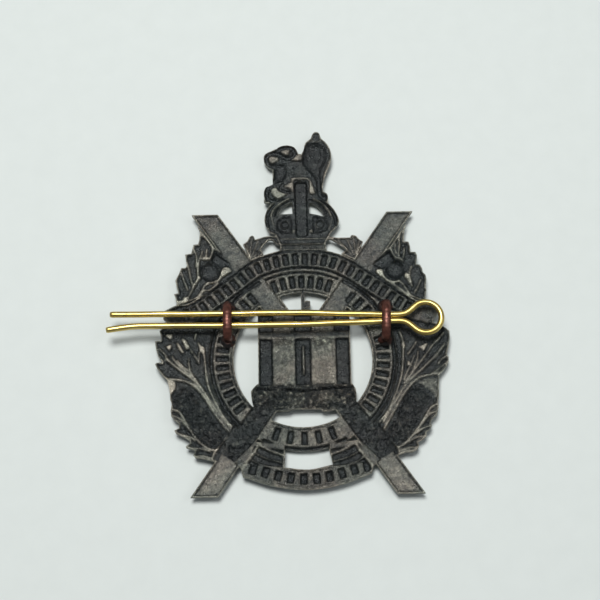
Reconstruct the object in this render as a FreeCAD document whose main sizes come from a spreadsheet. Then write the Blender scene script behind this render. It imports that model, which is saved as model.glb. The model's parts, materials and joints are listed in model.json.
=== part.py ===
"""Cap badge, seen lying face down: a die-struck plate, two wire lugs, their braze and a split pin.

The origin is the crossing of the saltire on the plane of the badge's foremost relief (z = 0).
+Z points out of the badge's back, +Y points to the lion and +X to the eye of the pin.
"""
import FreeCAD, Part
import Sketcher
import math
import os

Vector = FreeCAD.Vector

SIZES = (
    # plate: heights above the foremost relief
    ("back_height", 2.3),
    ("saltire_front", 0.9),
    ("ring_front", 0.6),
    ("scroll_front", 0.35),
    ("leaf_front", 0.8),
    ("charge_front", 0.0),
    # plate: depths sunk into the back
    ("bar_hollow", 0.45),
    ("block_hollow", 0.8),
    ("leaf_hollow", 0.7),
    ("charge_hollow", 1.3),
    # plate: saltire, ring and scrolls
    ("saltire_tilt", 55.4),
    ("saltire_reach", 25.9),
    ("bar_half_width", 2.4),
    ("ring_x", -0.4),
    ("ring_y", -1.6),
    ("ring_inner", 12.3),
    ("ring_outer", 16.5),
    ("scroll_y", -6.8),
    ("block_margin", 0.85),
    # lugs and braze
    ("lug_wire", 1.4),
    ("lug_half_width", 2.8),
    ("lug_rise", 3.85),
    ("lug_corner", 2.0),
    ("lug_foot_thickness", 0.5),
    ("left_lug_x", -13.65),
    ("left_lug_y", 4.95),
    ("left_lug_twist", 0.0),
    ("right_lug_x", 14.45),
    ("right_lug_y", 4.75),
    ("right_lug_twist", -2.0),
    ("braze_radius", 1.35),
    ("braze_rise", 0.55),
    # split pin
    ("pin_wire", 1.1),
    ("pin_height", 4.5),
    ("pin_neck_x", 16.9),
    ("pin_neck_y", 4.98),
    ("pin_lie", -0.465),
    ("pin_leg", 51.4),
    ("pin_gap", 0.06),
    ("pin_spread", 1.08),
    ("pin_splay_run", 17.5),
    ("pin_eye_radius", 2.8),
    ("pin_eye_x", 4.6),
    ("pin_shoulder_angle", 45.0),
    ("pin_shoulder_radius", 3.0),
    ("pin_neck_run", 1.6),
    ("pin_neck_bend", 40.0),
    ("pin_splay_bend", 120.0),
    ("pin_tip_run", 4.6),
    ("pin_tip_bend", 30.0),
    ("pin_tip_extra", 0.6),
    ("pin_tip_drop", 0.55),
    # blocks of the lower scroll: how far the band sags at a given place along it
    ("foot_band_sag", 3.1),
    ("foot_band_reach", 11.0),
    ("foot_block_low", -24.1),
    ("foot_block_high", -22.1),
    ("foot_block_taper", 0.6),
)

# Outlines, in millimetres.  A bare point is a straight run to it; a pair of points is an arc
# that goes through the first and ends at the second.
SCROLL_TOP = (
    (-25.1, 7.7), (-21.0, 8.8), ((-15.0, 12.95), (-9.5, 17.0)), ((0.0, 19.1), (9.5, 16.5)),
    ((14.5, 12.85), (20.0, 9.1)), (24.6, 7.2), (24.0, 6.2), (23.1, 5.2),
    (16.9, 5.0), ((0.0, 14.3), (-16.9, 5.0)), (-24.2, 5.4), (-25.3, 6.2),
)
SCROLL_BOTTOM = (
    (-12.2, -21.1), (-10.8, -22.5), ((0.0, -24.95), (10.9, -22.4)), (12.3, -21.2), (9.2, -16.4),
    (3.9, -16.8), (3.9, -18.0), (4.5, -20.6), ((0.2, -21.4), (-4.0, -20.9)), (-3.9, -18.2),
    (-3.9, -16.8), (-9.2, -16.4),
)
ROCK = (
    (-9.0, -6.5), (-9.7, -7.3), (-9.5, -9.6), (-7.2, -10.4), (-5.3, -11.1), (-3.0, -11.1),
    (-2.5, -10.8), (2.5, -10.8), (3.1, -11.2), (4.9, -11.0), (8.9, -9.5), (8.9, -7.6), (8.2, -6.3),
)
CROWN = (
    (-4.3, 18.3), (-4.2, 20.0), (-4.9, 21.7), (-6.1, 22.4), ((-6.9, 24.6), (-6.2, 27.0)),
    ((-4.4, 28.9), (-1.4, 30.0)), (-1.4, 32.2), (-1.0, 32.6), (0.9, 32.6), (1.3, 32.1), (1.3, 30.0),
    ((4.2, 28.7), (6.0, 26.4)), ((6.7, 24.4), (5.9, 22.7)), (4.6, 21.0), (4.1, 19.6), (4.3, 18.5),
)
CROWN_LEFT_WINDOW = ((-1.7, 26.1), (-4.5, 26.1), ((-3.4, 27.4), (-1.8, 28.3)))
CROWN_RIGHT_WINDOW = ((1.4, 28.1), (1.4, 26.1), ((2.8, 25.9), (3.9, 25.5)), ((3.1, 27.2), (1.4, 28.1)))
LION = (
    (-6.4, 28.2), ((-7.0, 30.2), (-5.3, 32.2)), (-5.3, 34.9), ((-6.9, 36.6), (-5.8, 38.4)),
    ((-2.9, 39.6), (-0.5, 37.9)), (0.1, 37.7), (0.8, 39.6), (2.0, 41.0), ((2.8, 42.2), (3.8, 40.9)),
    ((5.7, 37.4), (4.7, 34.2)), (4.0, 31.2), (4.0, 30.2), (4.9, 29.5), (4.8, 28.0), (0.0, 29.0),
)
LEAF_BESIDE_CROWN_LEFT = (
    (-4.6, 21.3), (-6.4, 21.6), (-8.6, 21.0), ((-9.2, 21.8), (-9.9, 20.9)), (-11.2, 19.6),
    (-9.5, 17.2), (-7.3, 18.5), (-7.5, 19.2), ((-6.7, 20.4), (-5.6, 20.9)), (-4.2, 20.3),
)
LEAF_BESIDE_CROWN_RIGHT = (
    (4.4, 21.3), (6.2, 21.1), (8.6, 21.0), ((9.3, 21.5), (10.0, 21.1)), (11.2, 19.6), (9.6, 17.2),
    (7.6, 17.9), (8.1, 18.7), ((6.5, 20.1), (5.0, 20.9)), (4.1, 20.3),
)
WREATH_UPPER_LEFT = (
    (-18.4, 23.0), (-18.9, 20.3), (-19.9, 20.2), (-20.3, 18.4), (-21.4, 18.3), (-21.2, 16.0),
    (-22.2, 15.7), (-23.2, 13.4), (-22.7, 10.9), (-23.3, 10.8), (-22.9, 8.4), (-15.0, 11.0),
    (-10.0, 16.0), (-14.0, 17.6),
)
WREATH_UPPER_RIGHT = (
    (18.3, 23.0), (18.5, 20.1), (19.4, 19.9), (19.5, 18.0), (20.7, 17.9), (20.6, 15.7),
    (21.3, 15.6), (22.2, 13.4), (22.1, 10.4), (21.9, 8.4), (15.0, 11.0), (10.0, 16.0), (14.0, 17.6),
)
WREATH_LOWER_LEFT = (
    (-15.0, 5.6), (-24.4, 5.3), (-25.9, 4.0), (-25.6, 2.7), (-26.9, 2.2), ((-26.6, 0.2), (-25.4, -1.8)),
    (-26.7, -2.0), ((-25.9, -3.6), (-24.2, -5.1)), (-23.9, -8.2), (-23.6, -9.2), (-23.8, -11.6),
    (-22.3, -13.1), (-23.2, -14.2), (-20.2, -16.2), (-21.2, -17.1), (-19.2, -18.0), (-19.8, -19.0),
    (-16.6, -19.6), (-12.0, -14.0), (-13.8, -8.0), (-15.6, 0.0),
)
WREATH_LOWER_RIGHT = (
    (15.0, 5.2), (23.1, 5.2), (25.1, 4.1), (25.9, 2.9), ((25.8, 0.4), (25.2, -1.3)),
    (25.5, -2.3), ((24.9, -3.6), (23.7, -5.1)), (23.4, -8.2), (23.2, -10.6), (22.2, -12.8),
    (21.9, -14.2), (20.7, -16.1), (19.6, -16.9), ((19.5, -18.0), (18.3, -18.7)), (16.2, -19.0),
    (12.0, -14.0), (13.6, -8.0), (15.4, 0.0),
)
THISTLE_LOWER_LEFT = (
    (-23.0, -7.6), ((-20.6, -5.8), (-18.6, -7.9)), (-14.4, -15.2), ((-14.8, -17.6), (-17.0, -17.4)),
    (-20.6, -14.0), (-23.0, -10.2),
)
THISTLE_LOWER_RIGHT = (
    (22.3, -8.0), ((20.0, -6.0), (17.6, -8.3)), (14.3, -14.8), ((14.5, -17.0), (16.4, -17.0)),
    (19.8, -13.8), (22.0, -10.4),
)
TOWERS = ((-8.4, -5.6), (-1.8, 1.3), (5.2, 8.1))
CASTLE_TOP = 6.8
CASTLE_FOOT = -6.6
FLAGSTAFF = ((-0.5, 6.0), (0.1, 6.0), (0.1, 7.9), (1.1, 8.0), (1.1, 9.1), (0.1, 9.1), (0.1, 11.2), (-0.5, 11.2))
THISTLE_BALLS = ((-17.0, 15.0, 2.1), (16.7, 14.7, 2.0))
THISTLE_TUFTS = (
    ((-16.8, 16.4), (-16.2, 18.8), (-13.6, 17.0), (-14.2, 16.0), (-15.6, 15.4)),
    ((16.6, 16.2), (15.9, 18.5), (13.3, 16.6), (14.0, 15.5), (15.3, 15.0)),
)

# Sunk blocks round a band: angle of each block's middle and its half width, in degrees.
SCROLL_BLOCKS = (
    (58, 1.6), (62, 1.6), (66, 1.6), (70, 1.6), (80.5, 1.7), (84.8, 1.7), (89, 1.6), (93, 1.6),
    (97.2, 1.7), (101.5, 1.7), (110.5, 1.7), (114.8, 1.7), (119, 1.6),
)
RING_BLOCKS = (
    (71, 3.4), (80, 3.0), (88.5, 3.0), (97.5, 3.4), (108, 3.8), (176, 2.6), (186, 3.0), (197, 3.2),
    (208, 3.4), (253, 5.2), (270.5, 5.2), (288, 5.2), (330, 3.6), (342, 3.6), (353, 3.2),
)
BOTTOM_BLOCKS = ((-8.6, 1.0), (-6.0, 1.1), (-3.2, 1.1), (-0.4, 0.7), (2.4, 1.1), (5.3, 1.0), (8.2, 1.1))

# Lug feet: side of the lug in Y, heading in degrees and reach from the leg's axis.
LUG_FEET = {
    "left": {"upper_foot": (1, 90, 0.9), "lower_foot": (-1, -90, 0.9)},
    "right": {"upper_foot": (1, 90, 1.35), "lower_foot": (-1, 192, 1.9)},
}

ORIGIN_PLANES = {"XY": "XY_Plane", "YZ": "YZ_Plane"}

doc = FreeCAD.newDocument("cap_badge")


# --- sheet -------------------------------------------------------------------------------------
def make_sheet():
    """The driving dimensions, one row each: a name, a plain number and the name as its alias."""
    sheet = doc.addObject("Spreadsheet::Sheet", "sizes")
    for row, (name, value) in enumerate(SIZES, start=1):
        sheet.set("A%d" % row, name)
        sheet.set("B%d" % row, str(value))
        sheet.setAlias("B%d" % row, name)
    doc.recompute()
    return sheet


sheet = make_sheet()


def size(name):
    return float(sheet.get(name))


def cell(expression):
    """An expression in which every @name is a cell of the sheet."""
    return expression.replace("@", "<<sizes>>.")


# --- sketches ----------------------------------------------------------------------------------
def make_body(label):
    body = doc.addObject("PartDesign::Body", label)
    body.Label = label
    return body


def make_sketch(body, name, plane="XY", offset=None):
    """A sketch on one of the body's origin planes, moved along its normal by an expression."""
    sketch = body.newObject("Sketcher::SketchObject", name)
    role = ORIGIN_PLANES[plane]
    base = [item for item in body.Origin.OriginFeatures if item.Role == role][0]
    sketch.AttachmentSupport = [(base, "")]
    sketch.MapMode = "FlatFace"
    if offset:
        sketch.setExpression("AttachmentOffset.Base.z", cell(offset))
    return sketch


def flat(point):
    return Vector(point[0], point[1], 0)


def is_arc(step):
    return isinstance(step[0], tuple)


def draw_outline(sketch, steps):
    """Close a ring of straight runs and three-point arcs."""
    here = flat(steps[0])
    first = here
    for step in steps[1:]:
        if is_arc(step):
            through, end = flat(step[0]), flat(step[1])
            sketch.addGeometry(Part.Arc(here, through, end), False)
        else:
            end = flat(step)
            sketch.addGeometry(Part.LineSegment(here, end), False)
        here = end
    if here.distanceToPoint(first) > 1e-6:
        sketch.addGeometry(Part.LineSegment(here, first), False)


def draw_circle(sketch, x, y, radius_cell=None, radius=1.0):
    """A circle; its radius follows the sheet where a cell is named."""
    index = sketch.addGeometry(Part.Circle(Vector(x, y, 0), Vector(0, 0, 1), radius), False)
    if radius_cell:
        constraint = sketch.addConstraint(Sketcher.Constraint("Radius", index, radius))
        sketch.setExpression("Constraints[%d]" % constraint, cell(radius_cell))


def polar(centre, radius, degrees):
    angle = math.radians(degrees)
    return (centre[0] + radius * math.cos(angle), centre[1] + radius * math.sin(angle))


def block_outline(centre, inner, outer, middle, half):
    """A block on a curved band: two arcs about the band's centre and two radial sides."""
    return (
        polar(centre, inner, middle - half),
        (polar(centre, inner, middle), polar(centre, inner, middle + half)),
        polar(centre, outer, middle + half),
        (polar(centre, outer, middle), polar(centre, outer, middle - half)),
    )


def shrunk(points, factor):
    """The same outline drawn smaller about the middle of its points."""
    ends = [point[1] if is_arc(point) else point for point in points]
    mid_x = sum(point[0] for point in ends) / len(ends)
    mid_y = sum(point[1] for point in ends) / len(ends)

    def move(point):
        return (mid_x + (point[0] - mid_x) * factor, mid_y + (point[1] - mid_y) * factor)

    return [tuple(move(p) for p in point) if is_arc(point) else move(point) for point in points]


def box_outline(x0, y0, x1, y1):
    return ((x0, y0), (x1, y0), (x1, y1), (x0, y1))


# --- plate -------------------------------------------------------------------------------------
def raise_relief(body, name, front, *outlines):
    """Pad outlines from their own front height back to the plane of the badge's back."""
    sketch = make_sketch(body, name + "_outline", offset="@%s * 1 mm" % front)
    for outline in outlines:
        draw_outline(sketch, outline)
    return pad_sketch(body, name, sketch, front)


def pad_sketch(body, name, sketch, front):
    pad = body.newObject("PartDesign::Pad", name)
    pad.Profile = sketch
    pad.setExpression("Length", cell("(@back_height - @%s) * 1 mm" % front))
    return pad


def sink_hollow(body, name, depth, outlines, circles=()):
    """Pocket outlines into the back to the depth in a cell."""
    sketch = make_sketch(body, name + "_outline", offset="@back_height * 1 mm")
    for outline in outlines:
        draw_outline(sketch, outline)
    for x, y, radius in circles:
        draw_circle(sketch, x, y, radius=radius)
    pocket = body.newObject("PartDesign::Pocket", name)
    pocket.Profile = sketch
    pocket.setExpression("Length", cell("@%s * 1 mm" % depth))
    return pocket


def saltire_bar(side, reach, half_width):
    """One bar of the saltire, its ends cut level; side is +1 for the bar that rises to +X."""
    lean = side * reach / math.tan(math.radians(size("saltire_tilt")))
    return (
        (-lean - half_width, -reach), (-lean + half_width, -reach),
        (lean + half_width, reach), (lean - half_width, reach),
    )


def saltire_hollow(side_x, side_y, start, wall):
    """The shallow tray in the outer stretch of one arm."""
    tilt = math.tan(math.radians(size("saltire_tilt")))
    reach = size("saltire_reach") - wall
    half = size("bar_half_width") - wall
    near, far = start / tilt, reach / tilt
    return (
        (side_x * near - half, side_y * start), (side_x * near + half, side_y * start),
        (side_x * far + half, side_y * reach), (side_x * far - half, side_y * reach),
    )


def bottom_block(middle, half):
    """A block of the lower scroll, whose band sags below its ends."""
    sag = size("foot_band_sag") * (middle / size("foot_band_reach")) ** 2
    low = size("foot_block_low") + sag
    high = size("foot_block_high") + sag * size("foot_block_taper")
    return box_outline(middle - half, low, middle + half, high)


def build_plate():
    body = make_body("badge_plate")
    reach, half_width = size("saltire_reach"), size("bar_half_width")
    ring_centre = (size("ring_x"), size("ring_y"))
    raise_relief(body, "saltire_rising", "saltire_front", saltire_bar(1, reach, half_width))
    raise_relief(body, "saltire_falling", "saltire_front", saltire_bar(-1, reach, half_width))
    ring = make_sketch(body, "ring_outline", offset="@ring_front * 1 mm")
    for radius_cell in ("ring_inner", "ring_outer"):
        draw_circle(ring, *ring_centre, radius_cell="@" + radius_cell, radius=size(radius_cell))
    pad_sketch(body, "ring", ring, "ring_front")
    raise_relief(body, "scroll_top", "scroll_front", SCROLL_TOP)
    raise_relief(body, "scroll_bottom", "scroll_front", SCROLL_BOTTOM)
    castle = box_outline(TOWERS[0][0], CASTLE_FOOT - 0.4, TOWERS[-1][1], CASTLE_TOP)
    raise_relief(body, "castle_wall", "scroll_front", castle)
    raise_relief(body, "castle_rock", "charge_front", ROCK)
    for index, (left, right) in enumerate(TOWERS):
        tower = box_outline(left, CASTLE_FOOT, right, CASTLE_TOP)
        raise_relief(body, "castle_tower_%d" % index, "charge_front", tower)
    raise_relief(body, "flagstaff", "leaf_front", FLAGSTAFF)
    raise_relief(body, "crown", "charge_front", CROWN, CROWN_LEFT_WINDOW, CROWN_RIGHT_WINDOW)
    raise_relief(body, "crown_leaf_left", "leaf_front", LEAF_BESIDE_CROWN_LEFT)
    raise_relief(body, "crown_leaf_right", "leaf_front", LEAF_BESIDE_CROWN_RIGHT)
    raise_relief(body, "lion", "leaf_front", LION)
    raise_relief(body, "wreath_upper_left", "leaf_front", WREATH_UPPER_LEFT)
    raise_relief(body, "wreath_upper_right", "leaf_front", WREATH_UPPER_RIGHT)
    raise_relief(body, "wreath_lower_left", "leaf_front", WREATH_LOWER_LEFT)
    raise_relief(body, "wreath_lower_right", "leaf_front", WREATH_LOWER_RIGHT)
    for index, (x, y, radius) in enumerate(THISTLE_BALLS):
        sketch = make_sketch(body, "thistle_ball_%d_outline" % index, offset="@charge_front * 1 mm")
        draw_circle(sketch, x, y, radius=radius + 0.4)
        pad_sketch(body, "thistle_ball_%d" % index, sketch, "charge_front")
    for index, outline in enumerate((THISTLE_LOWER_LEFT, THISTLE_LOWER_RIGHT)):
        raise_relief(body, "thistle_head_%d" % index, "charge_front", outline)
    sink_plate_back(body, ring_centre)
    body.Tip = body.Group[-1]
    return body


def sink_plate_back(body, ring_centre):
    """The hollows that the punch leaves behind each raised charge."""
    trays = [saltire_hollow(sx, 1, 18.5, 0.5) for sx in (-1, 1)]
    trays += [saltire_hollow(sx, -1, 20.5, 0.5) for sx in (-1, 1)]
    sink_hollow(body, "saltire_trays", "bar_hollow", trays)
    margin = size("block_margin")
    inner, outer = size("ring_inner") + margin, size("ring_outer") - margin
    blocks = [block_outline(ring_centre, inner, outer, *block) for block in RING_BLOCKS]
    sink_hollow(body, "ring_blocks", "block_hollow", blocks)
    scroll_centre = (-0.4, size("scroll_y"))
    blocks = [block_outline(scroll_centre, 22.6, 24.9, *block) for block in SCROLL_BLOCKS]
    sink_hollow(body, "scroll_blocks", "block_hollow", blocks)
    blocks = [bottom_block(*block) for block in BOTTOM_BLOCKS]
    sink_hollow(body, "bottom_blocks", "block_hollow", blocks)
    wall = 0.5
    towers = [
        box_outline(left + wall, CASTLE_FOOT + 1.0, right - wall, CASTLE_TOP - wall)
        for left, right in TOWERS
    ]
    sink_hollow(body, "castle_hollows", "charge_hollow", towers + [shrunk(ROCK, 0.72)])
    sink_hollow(body, "thistle_hollows", "charge_hollow",
                [shrunk(THISTLE_LOWER_LEFT, 0.72), shrunk(THISTLE_LOWER_RIGHT, 0.72)], THISTLE_BALLS)
    sink_hollow(body, "tuft_hollows", "leaf_hollow", [shrunk(tuft, 0.7) for tuft in THISTLE_TUFTS])
    orb = box_outline(-0.9, 19.8, 0.8, 32.0)
    sink_hollow(body, "crown_hollow", "charge_hollow", [orb])
    cushions = ((-3.6, 23.8, 1.3), (3.3, 23.8, 1.3))
    sink_hollow(body, "crown_cushions", "leaf_hollow", [], cushions)
    mane = ((1.3, 36.2), ((0.9, 38.6), (2.6, 39.6)), ((4.8, 38.8), (4.6, 36.4)), (3.3, 34.2), (3.2, 30.0),
            (2.8, 30.0), (2.4, 33.2))
    rump = ((-4.6, 35.8), (-4.6, 32.6), (-3.0, 33.4), (0.6, 33.8), (0.6, 35.6), (-2.0, 36.0))
    sink_hollow(body, "lion_hollows", "leaf_hollow", [mane, rump])


# --- lugs --------------------------------------------------------------------------------------
def rounded_run(corners):
    """Straight runs and tangent arcs along (x, y, radius) corners, as sketch geometry."""
    pieces = []
    here = flat(corners[0])
    for before, corner, after in zip(corners, corners[1:], corners[2:]):
        vertex = flat(corner)
        back = (flat(before) - vertex).normalize()
        ahead = (flat(after) - vertex).normalize()
        half_turn = (math.pi - back.getAngle(ahead)) / 2
        setback = corner[2] * math.tan(half_turn)
        start, end = vertex + back * setback, vertex + ahead * setback
        inward = (back + ahead).normalize()
        middle = vertex + inward * (corner[2] / math.cos(half_turn) - corner[2])
        if here.distanceToPoint(start) > 1e-6:
            pieces.append(Part.LineSegment(here, start))
        pieces.append(Part.Arc(start, middle, end))
        here = end
    pieces.append(Part.LineSegment(here, flat(corners[-1])))
    return pieces


def sweep_wire(body, name, path_plane, corners, profile_plane, profile_offset, at, diameter):
    """A round wire: a circle carried along a sketch of runs and arcs."""
    path = make_sketch(body, name + "_path", path_plane)
    for piece in rounded_run(corners):
        path.addGeometry(piece, False)
    profile = make_sketch(body, name + "_section", profile_plane, profile_offset)
    draw_circle(profile, at[0], at[1], radius_cell="@%s / 2 * 1 mm" % diameter, radius=size(diameter) / 2)
    doc.recompute()
    pipe = body.newObject("PartDesign::AdditivePipe", name)
    pipe.Profile = profile
    pipe.Spine = path
    return pipe


def place_body(body, x, y, z, turn=0.0):
    body.setExpression("Placement.Base.x", cell(x))
    body.setExpression("Placement.Base.y", cell(y))
    body.setExpression("Placement.Base.z", cell(z))
    if turn:
        body.Placement.Rotation = FreeCAD.Rotation(Vector(0, 0, 1), turn)


def foot_outline(centre, heading, reach):
    """A flattened wire end: as wide as the wire, round-nosed, pointing along a heading."""
    wire = size("lug_wire") / 2
    nose = polar(centre, reach - wire, heading)
    return (
        polar(centre, wire, heading + 90), polar(nose, wire, heading + 90),
        (polar(nose, wire, heading), polar(nose, wire, heading - 90)), polar(centre, wire, heading - 90),
    )


def build_lug(side):
    """A wire staple that stands on the back, with its two ends hammered flat and turned out."""
    body = make_body(side + "_lug")
    half, rise, corner = size("lug_half_width"), size("lug_rise"), size("lug_corner")
    corners = ((-half, 0, 0), (-half, rise, corner), (half, rise, corner), (half, 0, 0))
    sweep_wire(body, "staple", "YZ", corners, "XY", None, (0, -half), "lug_wire")
    for name, (sign, heading, reach) in LUG_FEET[side].items():
        sketch = make_sketch(body, name + "_outline")
        draw_outline(sketch, foot_outline((0, sign * half), heading, reach))
        pad = body.newObject("PartDesign::Pad", name)
        pad.Profile = sketch
        pad.setExpression("Length", cell("@lug_foot_thickness * 1 mm"))
    place_body(body, "@%s_lug_x * 1 mm" % side, "@%s_lug_y * 1 mm" % side, "@back_height * 1 mm",
               size(side + "_lug_twist"))
    return body


def build_braze(side, lug):
    """Two low pools of braze, one round each foot of a lug, cut to the foot they hold."""
    pools = []
    turn = FreeCAD.Rotation(Vector(0, 0, 1), size(side + "_lug_twist"))
    middle = Vector(size(side + "_lug_x"), size(side + "_lug_y"), size("back_height"))
    for name, sign in (("upper", 1), ("lower", -1)):
        pool = doc.addObject("Part::Cone", "%s_%s_pool" % (side, name))
        pool.setExpression("Radius1", cell("@braze_radius * 1 mm"))
        pool.setExpression("Radius2", cell("(@braze_radius - @braze_rise) * 1 mm"))
        pool.setExpression("Height", cell("@braze_rise * 1 mm"))
        foot = turn.multVec(Vector(0, sign * (size("lug_half_width") + 0.2), 0))
        pool.Placement = FreeCAD.Placement(middle + foot, turn)
        pools.append(pool)
    joined = doc.addObject("Part::MultiFuse", side + "_pools")
    joined.Shapes = pools
    braze = doc.addObject("Part::Cut", side + "_lug_braze")
    braze.Base = joined
    braze.Tool = lug
    braze.Label = side + "_lug_braze"
    return braze


# --- split pin ---------------------------------------------------------------------------------
def build_pin():
    """One length of wire folded back on itself round a loop eye, its two legs sprung apart."""
    body = make_body("split_pin")
    near = size("pin_wire") / 2 + size("pin_gap") / 2
    far, radius, eye = size("pin_spread"), size("pin_eye_radius"), size("pin_eye_x")
    leg, run = size("pin_leg"), size("pin_splay_run")
    shoulder = math.radians(size("pin_shoulder_angle"))
    start = eye - (radius - near * math.cos(shoulder)) / math.sin(shoulder)
    top = eye - radius * math.tan(shoulder / 2)
    bend = size("pin_shoulder_radius")
    splay, neck, neck_bend = size("pin_splay_bend"), -size("pin_neck_run"), size("pin_neck_bend")
    kink, tip_bend = size("pin_tip_run") - leg, size("pin_tip_bend")
    tip, drop = -leg - size("pin_tip_extra"), size("pin_tip_drop")
    corners = (
        (-leg, far, 0), (-run, far, splay), (neck, near, neck_bend), (start, near, bend),
        (top, radius, radius), (eye + radius, radius, radius), (eye + radius, -radius, radius),
        (top, -radius, radius), (start, -near, bend), (neck, -near, neck_bend), (-run, -far, splay),
        (kink, -far, tip_bend), (tip, -far - drop, 0),
    )
    sweep_wire(body, "wire", "XY", corners, "YZ", "-@pin_leg * 1 mm", (far, 0), "pin_wire")
    place_body(body, "@pin_neck_x * 1 mm", "@pin_neck_y * 1 mm", "@pin_height * 1 mm", size("pin_lie"))
    return body


# --- checks and export -------------------------------------------------------------------------
def check_states():
    failed = [item.Name for item in doc.Objects if {"Invalid", "Error"} & set(item.State)]
    if failed:
        raise RuntimeError("failed to recompute: " + ", ".join(failed))


def export_parts(parts):
    os.makedirs("parts", exist_ok=True)
    for part in parts:
        shape = part.Shape
        if shape.isNull() or not shape.isValid():
            raise RuntimeError("bad shape: " + part.Label)
        print("%-18s solids %d  volume %8.2f mm3" % (part.Label, len(shape.Solids), shape.Volume))
    for part in parts:
        part.Shape.exportStep("parts/%s.step" % part.Label)


plate = build_plate()
left_lug = build_lug("left")
right_lug = build_lug("right")
pin = build_pin()
doc.recompute()
left_braze = build_braze("left", left_lug)
right_braze = build_braze("right", right_lug)
doc.recompute()
check_states()
export_parts((plate, left_lug, right_lug, left_braze, right_braze, pin))
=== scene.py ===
"""Cap badge lying face down: struck white-metal plate, copper lugs, braze and a brass split pin.

The plate is drawn here as a relief.  Every outline is a short list of points in millimetres in the
badge's own frame: the origin is the crossing of the saltire, +Y points to the lion, and heights
count up from the plane of the badge's foremost relief.
"""
import json
import math

import bmesh
import bpy
import numpy as np
from mathutils import Matrix, Vector


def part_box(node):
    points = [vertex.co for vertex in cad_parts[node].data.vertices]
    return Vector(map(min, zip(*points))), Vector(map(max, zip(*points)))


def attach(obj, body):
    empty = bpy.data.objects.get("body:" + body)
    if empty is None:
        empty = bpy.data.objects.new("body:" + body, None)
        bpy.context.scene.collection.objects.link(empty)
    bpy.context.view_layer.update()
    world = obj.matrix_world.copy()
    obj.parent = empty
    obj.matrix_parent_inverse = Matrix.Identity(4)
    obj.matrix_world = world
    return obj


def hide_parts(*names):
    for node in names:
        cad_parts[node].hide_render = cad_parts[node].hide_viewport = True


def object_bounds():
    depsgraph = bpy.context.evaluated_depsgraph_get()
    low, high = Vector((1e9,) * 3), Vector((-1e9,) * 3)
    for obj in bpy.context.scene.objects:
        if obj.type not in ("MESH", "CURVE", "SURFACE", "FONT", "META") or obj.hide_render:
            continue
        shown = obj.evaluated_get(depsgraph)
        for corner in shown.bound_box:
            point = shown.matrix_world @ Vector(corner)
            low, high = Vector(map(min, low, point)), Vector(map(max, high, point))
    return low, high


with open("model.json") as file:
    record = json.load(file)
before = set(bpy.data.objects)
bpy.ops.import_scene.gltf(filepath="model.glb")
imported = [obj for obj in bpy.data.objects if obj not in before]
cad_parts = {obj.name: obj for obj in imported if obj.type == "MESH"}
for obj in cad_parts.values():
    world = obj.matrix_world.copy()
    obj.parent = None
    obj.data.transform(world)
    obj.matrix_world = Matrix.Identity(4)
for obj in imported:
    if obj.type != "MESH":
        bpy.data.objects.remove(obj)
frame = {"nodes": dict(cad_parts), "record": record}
cad_low, cad_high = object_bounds()

MM = 0.001

# --- relief: canvas
STEP = 0.1                    # grid spacing, mm
DARK, LAND_TONE = 0.0, 0.4    # brightness of a deep hollow and of plain metal left standing; 1 is cream
PLAIN_GRAIN = 0.25            # roughness of the plain parts
OUTSIDE = -9.0                # inside distance before anything is drawn, mm
MARGIN = 0.4                  # how far beyond an outline its own window reaches, mm
SOFT = 0.13                   # half of the slope at the side of a standing line, mm
BACK = 2.3                    # height of the plain parts of the back, mm
SHEET = 1.0                   # thickness of the struck sheet, mm
WEST, EAST, SOUTH, NORTH = -27.6, 26.8, -26.8, 43.2


def curve(points, closed=True, smooth=True, steps=6):
    """Points along a drawn line.  A third value of 1 flips a point between round and sharp."""
    pts = [np.array(p[:2], float) for p in points]
    soft = [smooth != (len(p) == 3) for p in points]
    count = len(pts)
    line = []
    for i in range(count if closed else count - 1):
        a, b = pts[i], pts[(i + 1) % count]
        before = pts[i - 1] if closed or i else a
        after = pts[(i + 2) % count] if closed or i + 2 < count else b
        start = (b - before) / 2 if soft[i] else b - a
        end = (after - a) / 2 if soft[(i + 1) % count] else b - a
        pieces = steps if soft[i] or soft[(i + 1) % count] else 1
        for t in np.arange(pieces) / pieces:
            line.append((2 * t**3 - 3 * t**2 + 1) * a + (t**3 - 2 * t**2 + t) * start
                        + (3 * t**2 - 2 * t**3) * b + (t**3 - t**2) * end)
    if not closed:
        line.append(pts[-1])
    return np.array(line)


def stroke(points):
    """Points along an open smooth line."""
    return curve(points, closed=False)


def sharp(points):
    """Points of a straight-sided outline."""
    return curve(points, smooth=False)


def arc(centre, radius, first, last, count=48):
    angles = np.radians(np.linspace(first, last, count))
    return np.column_stack((centre[0] + radius * np.cos(angles), centre[1] + radius * np.sin(angles)))


def circle(centre, radius):
    return arc(centre, radius, 0, 360, 64)[:-1]


def box(x0, y0, x1, y1):
    return np.array(((x0, y0), (x1, y0), (x1, y1), (x0, y1)), float)


def ease(value):
    value = np.clip(value, 0, 1)
    return value * value * (3 - 2 * value)


def blur(field, sigma):
    """Gaussian blur along both axes, sigma in millimetres."""
    reach = int(3 * sigma / STEP) + 1
    kernel = np.exp(-0.5 * (np.arange(-reach, reach + 1) * STEP / sigma) ** 2)
    kernel /= kernel.sum()
    for axis in (0, 1):
        pad = [(reach, reach) if a == axis else (0, 0) for a in (0, 1)]
        wide = np.pad(field, pad, mode="edge")
        size = field.shape[axis]
        field = sum(k * np.take(wide, range(i, i + size), axis) for i, k in enumerate(kernel))
    return field


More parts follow.
